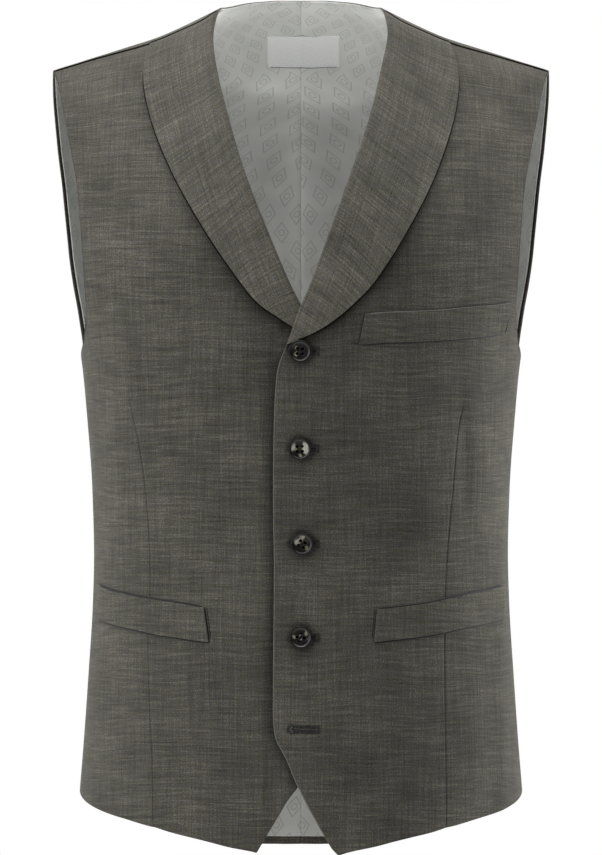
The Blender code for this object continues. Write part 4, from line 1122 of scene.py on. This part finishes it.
left_collar, right_collar = make_collar("left_collar", "over"), make_collar("right_collar", "under")
print("collars:", len(left_collar.data.polygons), "faces each")

# %% [markdown]
# ## Pocket welts
# A welt is a folded strip sewn to the front along its lower edge, turned up over the pocket's mouth
# and caught down at both ends. It lies a cloth's thickness proud of the front, its top edge free.

# %% Welts
WELTS = {                     # marks (x, z) along the lower and upper edge, from the front edge outwards
    "breast_welt": ("over", [(42.6, -247.4), (72.0, -245.6), (110.0, -243.7), (150.5, -238.0)],
                    [(47.5, -224.2), (78.0, -222.6), (116.0, -219.8), (155.6, -215.0)]),
    "left_welt": ("over", [(54.3, -470.0), (86.0, -466.4), (118.0, -460.2), (149.3, -451.8)],
                  [(56.3, -445.5), (87.0, -442.0), (118.0, -435.4), (148.3, -427.8)]),
    "right_welt": ("under", [(68.5, -470.0), (98.0, -466.0), (128.0, -459.8), (150.2, -452.6)],
                   [(72.0, -443.9), (100.0, -439.5), (127.0, -434.8), (149.6, -427.0)])}
WELT_CELLS = (60, 14)
WELT_PUFF, WELT_SLANT = 0.35, 0.25    # how far its middle bulges, and how far its top edge stands off
WELT_ON_BOLT, BOLT_STEP = (5.0, 0.9), 0.11    # where the welts were cut, each at a place of its own, in m


def strip_grid(bottom, top, cells, behind=False):
    edges = []
    for table in (bottom, top):
        spots = marks(np.array(table), behind)
        if behind:
            spots[:, 0] %= 360        # so that the azimuth runs on past the centre back
        edges.append(curve(spots, even(cells[0])))
    low, high = edges
    ends = [low[k] + (high[k] - low[k]) * even(cells[1])[:, None] for k in (0, -1)]
    return patch(low, high, *ends, even(cells[0]))


def make_welt(name):
    side, bottom, top = WELTS[name]
    spots = strip_grid(bottom, top, WELT_CELLS)
    base = lap_lift(side, spots) + WALL
    rise = even(WELT_CELLS[1])[:, None]
    full = WELT_PUFF * np.sin(math.pi * rise) ** 0.5 - WELT_PUFF * (1 - rise) ** 4
    inner, outer = walls(spots, SIGN[side], base + 0.1 + WELT_SLANT * rise,
                         base + WELT_WALL + LAYER_GAP + full)
    on_bolt = (WELT_ON_BOLT[0] + len(name) * BOLT_STEP, WELT_ON_BOLT[1])
    return shell(name, inner, outer, flat_place(spots) * (SIGN[side], 1) + on_bolt, [suiting], roll=0.45)


welts = {name: make_welt(name) for name in WELTS}
print("welts:", list(welts))

# %% [markdown]
# ## The neck label
# A short length of woven tape, sewn to the back lining below the neck. It is stiffer than the lining
# and stands off it a little between its corners.

# %% Label
LABEL_BOTTOM = [(-25.5, -36.4), (-12.0, -36.5), (2.0, -36.6), (16.0, -36.4), (29.5, -36.2)]
LABEL_TOP = [(-25.5, -13.3), (-12.0, -13.1), (2.0, -12.9), (16.0, -12.8), (29.5, -12.7)]
LABEL_CELLS = (44, 18)
label_spots = strip_grid(LABEL_BOTTOM, LABEL_TOP, LABEL_CELLS, behind=True)
LABEL_LIFT = WALL - BACK_WALL - LINING_WALL - 1.2         # where its outer face lies
LABEL_TAPE = 0.6                                          # its thickness
LABEL_BOW, LABEL_RIPPLE = 0.5, 0.25                       # how far it stands off the lining
LABEL_WIDTH, LABEL_HEIGHT = 55, 23.5
u, v = even(LABEL_CELLS[0])[None], even(LABEL_CELLS[1])[:, None]
label_bow = LABEL_BOW * np.sin(math.pi * u) * np.sin(math.pi * v)
label_bow = label_bow + LABEL_RIPPLE * np.sin(math.pi * u * 2.3 + 0.6) * v
label_inner, label_outer = walls(label_spots, 1, LABEL_LIFT - LABEL_TAPE - label_bow, LABEL_LIFT - label_bow)
label_flat = np.stack(np.broadcast_arrays(u * LABEL_WIDTH, v * LABEL_HEIGHT), axis=-1) * MM
label = shell("neck_label", label_inner, label_outer, label_flat, [tape], roll=0.15)
print("label:", len(label.data.polygons), "faces")

# %% [markdown]
# ## Stitches
# One stitch is a short bead of thread, modelled once from a sphere. Rows of copies are laid along
# the cloth as one joined mesh: round the label, up the lining's centre seam, and where the ends of
# the welts are caught down.

# %% Stitch maker
def bead_stamp():
    """Corners and faces of one bead, 1 long and 1 thick, along X."""
    bpy.ops.object.select_all(action="DESELECT")
    bpy.ops.mesh.primitive_uv_sphere_add(segments=8, ring_count=6, radius=0.5)
    stamp = bpy.context.object
    bpy.ops.object.mode_set(mode="EDIT")
    bpy.ops.mesh.select_all(action="SELECT")
    bpy.ops.transform.rotate(value=math.pi / 2, orient_axis="Y", center_override=(0, 0, 0))
    bpy.ops.object.mode_set(mode="OBJECT")
    points = np.array([vertex.co[:] for vertex in stamp.data.vertices])
    faces = [list(face.vertices) for face in stamp.data.polygons]
    bpy.data.objects.remove(stamp)
    return points, faces


BEAD = bead_stamp()


def laid(name, places, axes, sizes, finish):
    """Joined copies of the bead: places (n, 3), axes (n, 3, 3) as rows along, across and up, sizes (n, 3)."""
    points, faces = BEAD
    placed = np.einsum("pk,nk,nkc->npc", points, sizes, axes) + places[:, None]
    copies = [[corner + k * len(points) for corner in face] for k in range(len(places)) for face in faces]
    made = mesh_object(name, placed.reshape(-1, 3), copies, [finish])
    made.data.shade_smooth()
    return made


def surface_axes(spots, sign, direction):
    """Axes on the cloth: along a direction, across it and up the normal; direction is (n, 3)."""
    up = facing(spots[..., 0] * sign, spots[..., 1])
    along = unit(direction - up * np.sum(direction * up, axis=-1, keepdims=True))
    return np.stack([along, np.cross(up, along), up], axis=1)


def stitch_row(name, spots, sign, lift, pitch, finish, size):
    """Stitches along a line of spots, at a height over the body; size is length, width and height."""
    run = lengths(spots)
    count = max(int(run[-1] / pitch), 2)
    at = (np.arange(count) + 0.5) * run[-1] / count
    placed, ahead = [np.stack([np.interp(where, run, spots[:, k]) for k in (0, 1)], axis=-1)
                     for where in (at, at + 0.5)]
    height = np.interp(at, run, np.broadcast_to(lift, run.shape))
    centre = cloth(placed[:, 0] * sign, placed[:, 1], height)
    towards = cloth(ahead[:, 0] * sign, ahead[:, 1], height) - centre
    towards[-1] = towards[-2]
    return laid(name, centre, surface_axes(placed, sign, towards), np.tile(size, (count, 1)), finish)


LINING_FACE = WALL - BACK_WALL - LINING_WALL      # where the lining's inner face lies
LABEL_HEM = 0.75                                  # its stitches sink in this far below its face
label_edge = np.vstack([label_spots[1, 1:-1], label_spots[1:-1, -2], label_spots[-2, -2:0:-1],
                        label_spots[-2:0:-1, 1]])
label_stitches = stitch_row("label_stitches", label_edge, 1, LABEL_LIFT - LABEL_HEM, 1.5, pale_thread,
                            (0.9, 0.25, 0.22))
seam_stitches = stitch_row("lining_seam_stitches", BACK[6:, 0][::-1], 1, LINING_FACE - 0.1, 3.0, grey_thread,
                           (1.1, 0.3, 0.25))
print("stitches:", len(label_stitches.data.polygons) // len(BEAD[1]), "round the label")

# %% [markdown]
# ## Cords of painted shade and painted highlight
# The inner end of each lower welt, and both ends of the breast welt, are caught down with a close
# row of stitches. Along its lower edge a welt runs into a seam, and above it the pocket's mouth is a
# narrow slit. Shade falls into both, so a thin dark cord of painted shadow is sunk into each, thinner
# at its ends. Flat cords of dark, dull wool are painted shadow under the collar's edge, in the shoulder
# and centre back seams and along the label, and pale ones on the pressed edges of the left front and
# the breast welt are painted highlights.

# %% Cord maker
CORD_SIDES = 8
CORD_TAPER, CORD_THINNING = 0.04, 0.75        # share of its length over which a cord thins out, and how much


def cord(name, spots, sign, lift, radius, finish, flatness=1.0):
    """Cord along a line of spots, its middle at a height over the body, round or pressed flat."""
    centre = cloth(spots[:, 0] * sign, spots[:, 1], lift)
    along = unit(np.gradient(centre, axis=0))
    up = facing(spots[:, 0] * sign, spots[:, 1])
    across = unit(np.cross(along, up))
    share = np.linspace(0, 1, len(spots))
    thin = CORD_THINNING * fade(np.minimum(share, 1 - share), 0, CORD_TAPER)
    thick = (radius * (1 - thin))[:, None, None]
    turn = np.linspace(0, 2 * math.pi, CORD_SIDES, endpoint=False)[None, :, None]
    rings = centre[:, None] + thick * (across[:, None] * np.cos(turn) + up[:, None] * np.sin(turn) * flatness)
    faces = [[j * CORD_SIDES + k, j * CORD_SIDES + (k + 1) % CORD_SIDES,
              (j + 1) * CORD_SIDES + (k + 1) % CORD_SIDES, (j + 1) * CORD_SIDES + k]
             for j in range(len(spots) - 1) for k in range(CORD_SIDES)]
    last = (len(spots) - 1) * CORD_SIDES
    faces += [list(range(CORD_SIDES))[::-1], list(range(last, last + CORD_SIDES))]
    made = mesh_object(name, rings.reshape(-1, 3), faces, [finish])
    made.data.shade_smooth()
    return made


def moved(spots, across, down):
    """Spots moved by millimetres, across away from the centre front."""
    return spots + (across / ARC_PER_DEGREE, down)


def on_front(side, line):
    """Height of a front's outer face along a line of spots."""
    return lap_lift(side, line) + WALL


# %% Cords and stitches of the welts
WELT_TOP = WELT_WALL + LAYER_GAP
BREAST_SEAM_START = np.array([(38.4, -245.4), (40.6, -246.6), (43.4, -247.4)])    # shows past the welt
BREAST_MOUTH = 0.3 + 0.85 * (2 * even(WELT_CELLS[0] - 2) - 1) ** 4                # nearly shut in its middle


def welt_cords(name):
    side, bottom, top = WELTS[name]
    spots = strip_grid(bottom, top, WELT_CELLS)
    breast = name == "breast_welt"
    low, high, inner_end, outer_end = spots[0], spots[-1], spots[:, 0], spots[:, -1]
    # Each line is a dark cord of painted shadow, where shade falls into the welt's seam, ends and mouth.
    lines = [                 # what it is, its spots, how proud of the front it lies, its radius
        ("seam", moved(low, 0, 0.45), 0.05, 0.72), ("inner_end", moved(inner_end, -0.3, 0), 0.05, 0.6),
        ("mouth", moved(high[1:-1], 0, -0.45), 0.05, BREAST_MOUTH if breast else 1.05)]
    if breast:
        lines += [("seam_start", curve(marks(BREAST_SEAM_START), even(12)), 0.05, 0.5),
                  ("outer_end", moved(outer_end[:8], -0.3, 0), WELT_TOP, 0.5)]
    else:
        lines += [("tuck", moved(inner_end[1:], -1.7, 0), 0.05, 0.28)]
    made = [cord(f"{name}_{kind}", line, SIGN[side], on_front(side, line) + proud, radius, seam_thread_and_shadow)
            for kind, line, proud, radius in lines]
    for column in (3, -4) if breast else (3,):
        line = spots[1:-1, column]
        made.append(stitch_row(f"{name}_stitches_{column % len(spots[0])}", line, SIGN[side],
                               on_front(side, line) + WELT_TOP + 0.2, 1.6, seam_thread_and_shadow, (0.8, 0.42, 0.3)))
    return made


details = [piece for name in WELTS for piece in welt_cords(name)]

# %% Cords along the edges
# Pale cords on the breast welt's top edge and the left front's edge are painted highlights.
line = strip_grid(*WELTS["breast_welt"][1:], WELT_CELLS)[-1, 1:-1]
details.append(cord("breast_welt_top_painted_highlight", line, 1, on_front("over", line) + WELT_WALL + 0.1,
                    0.42 - 0.22 * even(len(line) - 1), painted_highlight))
line = curve(np.vstack([marks(CUTAWAY["over"]), marks(FRONT_EDGE["over"])]), even(200))
details.append(cord("front_edge_painted_highlight", line, 1, on_front("over", line) - 0.35, 0.45, painted_highlight))


def collar_cords(side):
    """The painted shadow line under the collar's edge, and the painted shadow of the shoulder seam on the
    collar and on the front.
    """
    top_x = COLLAR_TOP_X[side]
    line = curve(np.vstack([marks(COLLAR_EDGE[side][1:]), spot_on_seam(top_x, SEAM_GAP)[None]]), even(160))
    line = moved(line, 0.2, 0.2)
    height = body(*line.T)[:, 2]
    radius = (0.75 + 0.25 * fade(height, *SHADE_FOOT_Z)) * (0.4 + 0.6 * fade(height, *SHADE_TOP_Z))
    made = [cord(f"collar_shade_{side}", line, SIGN[side], on_front(side, line) + 0.3, radius, painted_shadow_wool,
                 flatness=0.5)]
    for part, first_x, last_x, proud in (("collar", NECK_POINT_X, top_x + 1, 0.8),
                                         ("front", top_x - 3, SHOULDER_HALF - 1, 0.2)):
        line = spot_on_seam(first_x + (last_x - first_x) * even(60), 0.0)
        made.append(cord(f"shoulder_seam_{part}_{side}", line, SIGN[side], WALL + proud, 0.8, painted_shadow_wool))
    return made


details += collar_cords("over") + collar_cords("under")
for place, edge, down, radius in (("under", label_spots[0], 0.3, 0.34),
                                  ("over", label_spots[-1], -0.25, 0.2)):
    details.append(cord(f"label_shadow_{place}", moved(edge, 0, down), 1, LABEL_LIFT - 0.2, radius,
                        painted_shadow_wool))
for number, edge, across in ((1, label_spots[:, 0], 0.2), (0, label_spots[:, -1], -0.2)):
    details.append(stitch_row(f"label_side_stitches_{number}", moved(edge, across, 0), 1, LABEL_LIFT - 0.25,
                              1.7, dark_thread, (0.8, 0.3, 0.3)))
# A cord of painted shade lies in the centre back seam's groove.
line = BACK[:, 0] * (0, 1) + (180, 0)
details.append(cord("centre_back_seam_shadow", line, 1, WALL - BACK_WALL / 2, 0.4, painted_shadow_wool))
print("cords and rows of stitches:", len(details))

# %% [markdown]
# ## Buttonholes
# A tailored buttonhole is a slit with a round eye at the end near the front edge, bound all round
# with close purl stitches over a gimp, and closed by a bar at the other end. Five are worked down
# the left front. The lowest is left open, as the custom is.

# %% Buttonholes
OPEN_HOLE_Z = -535.3
EYE_X, EYE_RADIUS = -7.0, 1.6
SLIT_END_X, SLIT_HALF = 12.6, 0.75
PURL_LENGTH, PURL_WIDTH, PURL_HEIGHT = 2.9, 0.62, 0.55
PURL_PITCH = 0.5
EYE_OPENING = math.radians(30)        # half the angle of the eye that opens into the slit
ALONG, UPRIGHT = (1.0, 0.0), (0.0, 1.0)


def keyhole(pitch):
    """Points round a keyhole's edge, and the outward direction at each, in (x, z) about the button's x."""
    start = EYE_X + EYE_RADIUS * math.cos(EYE_OPENING)
    count = int((SLIT_END_X - start) / pitch)
    points = [(start + (SLIT_END_X - start) * k / count, SLIT_HALF * side)
              for side in (1, -1) for k in range(count + 1)]
    outward = [(0.0, side) for side in (1, -1) for k in range(count + 1)]
    round_eye = 2 * math.pi - 2 * EYE_OPENING
    count = int(EYE_RADIUS * round_eye / pitch)
    for k in range(1, count):
        angle = EYE_OPENING + round_eye * k / count
        points.append((EYE_X + EYE_RADIUS * math.cos(angle), EYE_RADIUS * math.sin(angle)))
        outward.append((math.cos(angle), math.sin(angle)))
    return np.array(points), np.array(outward)


def alike(places, way, size):
    """Stitches that all lie one way and have one size."""
    return places, np.tile(way, (len(places), 1)), np.tile(size, (len(places), 1))


def sewn_on_front(name, kinds, centre_z, proud, finish):
    """Stitches of several kinds, each kind's places and ways in (x, z) about centre_z, and its sizes."""
    at, ways, sizes = [np.vstack(column) for column in zip(*kinds)]
    spots = spot(at[:, 0], at[:, 1] + centre_z)
    places = cloth(spots[:, 0], spots[:, 1], on_front("over", spots) + proud)
    direction = np.insert(ways, 1, 0.0, axis=1)
    return laid(name, places, surface_axes(spots, 1, direction), sizes, finish)


def make_buttonhole(name, centre_z, seed):
    rng = np.random.default_rng(seed)
    points, outward = keyhole(PURL_PITCH)
    uneven = 1 + 0.16 * rng.standard_normal(len(points))
    seats = points + outward * (PURL_LENGTH * 0.5 - 0.2) + 0.12 * rng.standard_normal(points.shape)
    purl = np.tile((PURL_LENGTH, PURL_WIDTH, PURL_HEIGHT), (len(points), 1))
    purl[:, 0] *= uneven
    bar = np.array([(SLIT_END_X + 0.5 + 0.45 * k, 0.0) for k in range(2)])
    cords = np.array([(x, side * (SLIT_HALF + 0.05)) for x in np.arange(-4.6, SLIT_END_X, 0.8)
                      for side in (1, -1)])
    kinds = [(seats, outward, purl), alike(bar, UPRIGHT, (2 * PURL_LENGTH + 1.6, 0.5, 0.7)),
             alike(cords, ALONG, (1.2, 0.45, 0.8))]
    return sewn_on_front(name, kinds, centre_z, 0.1, dark_thread)


def make_gimp(name, centre_z):
    """The paler cord that shows in the slit, and the threads of the bar that closes its end."""
    xs = np.arange(EYE_X + 2.0, SLIT_END_X, 0.7) if centre_z == OPEN_HOLE_Z else np.array([SLIT_END_X])
    slack = np.stack([xs, 0.25 - 0.03 * xs], axis=-1)
    bar = np.array([(SLIT_END_X - 0.9, 0.0), (SLIT_END_X + 1.5, 0.0)])
    kinds = [alike(slack, ALONG, (1.3, 0.42, 0.5)), alike(bar, UPRIGHT, (4.6, 0.36, 0.4))]
    return sewn_on_front(name, kinds, centre_z, 0.35, gimp_cord)


def make_slit(name, centre_z):
    """The cut, a thin strip just over the cloth between the rows of purl, dark with painted shade."""
    low, high = [[(x, centre_z + side * SLIT_HALF) for x in (EYE_X, SLIT_END_X)] for side in (-1, 1)]
    slit = strip_grid(low, high, (16, 1))
    base = on_front("over", slit)
    return shell(name, *walls(slit, 1, base + 0.02, base + 0.1), flat_place(slit), [cut_shadow], roll=0)


holes, slits = [], []
for number, centre_z in enumerate([row[1] for row in BUTTONS] + [OPEN_HOLE_Z], start=1):
    holes.append(make_buttonhole(f"buttonhole_{number}", centre_z, number))
    slits.append(make_slit(f"buttonhole_cut_{number}", centre_z))
    slits.append(make_gimp(f"buttonhole_gimp_{number}", centre_z))
print("buttonholes:", len(holes), "of", len(holes[0].data.polygons) // len(BEAD[1]), "stitches")

# %% [markdown]
# ## Buttons
# A suit button is turned from horn: a shallow dish inside a raised, rounded rim, with four holes in
# the dish. It starts as a cylinder. Insets on its top face step in the rim and the dish, a Bevel
# rounds every edge, and four thin cylinders cut the holes.

# %% Button
BUTTON_RADIUS, BUTTON_THICKNESS = 8.4 * MM, 3.0 * MM
RIM_WIDTH, DISH_DEPTH = 2.1 * MM, 1.1 * MM
DISH_SLOPE, BACK_SLOPE, BACK_CROWN = 1.6 * MM, 2.0 * MM, 0.1 * MM
HOLE_RADIUS, HOLE_OUT = 1.25 * MM, 2.7 * MM


def select_faces(made, wanted):
    """In edit mode, selects just the faces for which wanted(face) is true."""
    bpy.ops.object.mode_set(mode="OBJECT")
    for item in [*made.data.vertices, *made.data.edges]:
        item.select = False
    for face in made.data.polygons:
        face.select = bool(wanted(face))
    bpy.ops.object.mode_set(mode="EDIT")


def inset_and_sink(width, depth):
    bpy.ops.mesh.inset(thickness=width)
    bpy.ops.transform.translate(value=(0, 0, -depth))


def model_button():
    bpy.ops.object.select_all(action="DESELECT")
    bpy.ops.mesh.primitive_cylinder_add(vertices=64, radius=BUTTON_RADIUS, depth=BUTTON_THICKNESS,
                                        location=(0, 0, BUTTON_THICKNESS / 2))
    made = bpy.context.object
    bpy.ops.object.transform_apply(location=True, rotation=False, scale=False)
    bpy.ops.object.mode_set(mode="EDIT")
    bpy.ops.mesh.select_mode(type="FACE")
    select_faces(made, lambda face: face.normal.z > 0.9)
    bpy.ops.mesh.inset(thickness=RIM_WIDTH * 0.55)
    inset_and_sink(RIM_WIDTH * 0.45, DISH_DEPTH * 0.75)
    inset_and_sink(DISH_SLOPE, DISH_DEPTH * 0.25)
    select_faces(made, lambda face: face.normal.z < -0.9)
    inset_and_sink(BACK_SLOPE, BACK_CROWN)
    bpy.ops.object.mode_set(mode="OBJECT")
    cutters = []
    for k in range(4):
        angle = math.radians(45 + 90 * k)
        bpy.ops.mesh.primitive_cylinder_add(vertices=24, radius=HOLE_RADIUS, depth=0.02, location=(
            HOLE_OUT * math.cos(angle), HOLE_OUT * math.sin(angle), 0))
        cutters.append(bpy.context.object)
        cut = made.modifiers.new("hole", "BOOLEAN")
        cut.operation = "DIFFERENCE"
        cut.object = cutters[-1]
    soften = made.modifiers.new("polished edges", "BEVEL")
    soften.width = 0.35 * MM
    soften.segments = 3
    soften.limit_method = "ANGLE"
    soften.angle_limit = math.radians(28)
    apply_modifiers(made)
    for cutter in cutters:
        bpy.data.objects.remove(cutter)
    made.data.shade_smooth()
    made.data.materials.append(horn)
    return made


pattern_button = model_button()
print("button:", len(pattern_button.data.polygons), "faces")

# %% [markdown]
# Each button sits on a thread shank over its buttonhole, turned as it happened to be sewn. Across
# the lowest one, two bars of grey thread show between the holes.

# %% Buttons in place
BUTTON_SEAT = 0.9
RIM_PALE = -0.3               # the rim is turned from the darker outer horn
SHANK = ((0, 0, -0.6), (3.4, 3.4, 2.2))       # place over the seat and size, in mm
HOLE_ACROSS = HOLE_OUT * math.sqrt(0.5) / MM  # from the button's middle to a hole, along x and y
BARS = [((side * 0.3 * HOLE_ACROSS, side * 0.8 * HOLE_ACROSS, 2.0), (2.3, 0.9, 0.7)) for side in (-1, 1)]


def button_frame(x, z, turn):
    where = spot(x, z)
    up = Vector(facing(*where))
    seat = Vector(cloth(*where, on_front("over", where) + BUTTON_SEAT)) * MM
    upright = up.to_track_quat("Z", "Y").to_matrix().to_4x4()
    return Matrix.Translation(seat) @ upright @ Matrix.Rotation(math.radians(turn), 4, "Z")


buttons, threads = [], []
for number, row in enumerate(BUTTONS, start=1):
    placed = button_frame(*row)
    button = bpy.data.objects.new(f"coat_button_{number}", pattern_button.data.copy())
    out = np.array([math.hypot(vertex.co.x, vertex.co.y) for vertex in button.data.vertices])
    pale = np.where(out > BUTTON_RADIUS - RIM_WIDTH * 0.9, RIM_PALE, HORN_DARK[number - 1])
    button.data.attributes.new("pale", "FLOAT", "POINT").data.foreach_set("value", pale.astype(np.float32))
    button.data.transform(placed)
    bpy.context.scene.collection.objects.link(button)
    buttons.append(button)
    lowest = number == len(BUTTONS)
    strands = [SHANK, *BARS] if lowest else [SHANK]
    places = np.array([placed @ (Vector(place) * MM) for place, size in strands]) / MM
    axes = np.repeat(np.array(placed.to_3x3().transposed())[None], len(strands), axis=0)
    threads.append(laid(f"button_thread_{number}", places, axes, np.array([size for place, size in strands]),
                        grey_thread if lowest else dark_thread))
bpy.data.objects.remove(pattern_button)
print("buttons:", [button.name for button in buttons])

# %% [markdown]
# ## What rides and replaces
# All pieces ride on the one body. Each shell stands for its solid, which is hidden, and the table gives
# the size of its flat cut: its width, length and area. The areas were set from the shells' own, so
# that they agree in the lines printed below is no check of the cut.

# %% Pieces and cuts
CUTS = [                      # piece, node, slot, flat width, flat length, flat area in square metres
    (left_front, "front_left", "suiting", 0.31, 0.64, 0.134),
    (right_front, "front_right", "suiting", 0.31, 0.64, 0.133),
    (left_back, "back_left", "suiting", 0.26, 0.66, 0.131),
    (right_back, "back_right", "suiting", 0.26, 0.66, 0.131),
    (left_lining, "lining_left", "lining", 0.26, 0.65, 0.128),
    (right_lining, "lining_right", "lining", 0.26, 0.65, 0.128),
    (left_collar, "collar_left", "suiting", 0.10, 0.31, 0.0208),
    (right_collar, "collar_right", "suiting", 0.10, 0.31, 0.0190),
    (welts["breast_welt"], "welt_breast", "suiting", 0.117, 0.030, 0.0031),
    (welts["left_welt"], "welt_left", "suiting", 0.117, 0.030, 0.0032),
    (welts["right_welt"], "welt_right", "suiting", 0.107, 0.031, 0.0030),
    (label, "label", "label", 0.058, 0.028, 0.0016)]


def measured_area(made):
    return sum(face.area for face in made.data.polygons) / 2


for made, cad_node, slot_name, width, length, area in CUTS:
    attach(made, "root")
    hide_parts(cad_node)
    print(f"{made.name}: area {measured_area(made):.4f} of flat {area}")
for number, button in enumerate(buttons, start=1):
    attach(button, "root")
    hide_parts(f"button_{number}")
for made in [*threads, *holes, *slits, *details, label_stitches, seam_stitches]:
    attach(made, "root")

# %% [markdown]
# ## Floor and light
# The floor lies where the wearer's feet would be, so it is far below the hem. The light is soft: tall
# panels at the sides model the form, the right one strongest, and panels above light the shoulders.
# One stands behind, a small lamp in the neck lights the lining, and a white surround, which the
# camera sees at full strength, fills the rest a little.

# %% Floor
FLOOR_Z = -1.45
bpy.ops.object.select_all(action="DESELECT")
bpy.ops.mesh.primitive_plane_add(size=60, location=(0, 0, FLOOR_Z))
floor = bpy.context.object
floor.name = "studio_floor"
floor.data.materials.append(
    speckled_material("white_studio_paper", "#eeeeec", "#f2f2f0", 3.0, detail=4.0, Roughness=0.9))
floor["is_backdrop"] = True
print("floor at", FLOOR_Z, "m")

# %% Lights
AIM = Vector((0, 0, -0.30))
AMBIENT = 0.03
PANELS = [                    # name, azimuth, elevation, distance, width, height, power
    ("left_panel", -105, 8, 2.4, 1.2, 2.0, 17), ("right_panel", 103, 8, 2.4, 1.2, 2.0, 46),
    ("left_front_panel", -55, 8, 2.4, 1.2, 2.0, 21), ("top_front_panel", -5, 50, 2.4, 2.0, 1.2, 4.5),
    ("top_panel", 0, 80, 2.4, 2.0, 1.2, 35), ("top_left_panel", -60, 50, 2.4, 1.2, 1.2, 11),
    ("top_right_panel", 60, 50, 2.4, 1.2, 1.2, 7), ("back_panel", 180, 25, 2.8, 2.4, 1.4, 22)]
NECK_LAMP = {"place": Vector((-0.008, 0.0, -0.015)), "target": Vector((-0.008, 0.07, -0.015)),
             "width": 0.14, "height": 0.02, "power": 0.064}


def hang_lamp(name, place, target, width, height, power):
    panel = bpy.data.lights.new(name, "AREA")
    panel.shape = "RECTANGLE"
    panel.size, panel.size_y, panel.energy = width, height, power
    lamp = bpy.data.objects.new(name, panel)
    lamp.location = place
    lamp.rotation_euler = (place - target).to_track_quat("Z", "Y").to_euler()
    lamp.visible_camera = False
    bpy.context.scene.collection.objects.link(lamp)


for name, azimuth, elevation, distance, width, height, power in PANELS:
    a, e = math.radians(azimuth), math.radians(elevation)
    towards = Vector((math.sin(a) * math.cos(e), -math.cos(a) * math.cos(e), math.sin(e)))
    hang_lamp(name, AIM + towards * distance, AIM, width, height, power)
hang_lamp("neck_lamp", **NECK_LAMP)
surround = bpy.data.worlds.new("white_surround")
surround.use_nodes = True
tree = surround.node_tree
seen = node(tree, "ShaderNodeLightPath")
strength = node(tree, "ShaderNodeMapRange", {0: seen, 3: AMBIENT, 4: 1.0})
tree.nodes["Background"].inputs["Color"].default_value = (1, 1, 1, 1)
tree.links.new(strength, tree.nodes["Background"].inputs["Strength"])
bpy.context.scene.world = surround
print("lights:", [row[0] for row in PANELS])

# %% [markdown]
# ## The sizes, and the end
# The shells must stay on their solids, so both boxes are written down and compared.

# %% Sizes
visual_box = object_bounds()
grown = (visual_box[1] - visual_box[0]) - (cad_box[1] - cad_box[0])
print("grown by", [round(side / MM, 1) for side in grown], "mm")
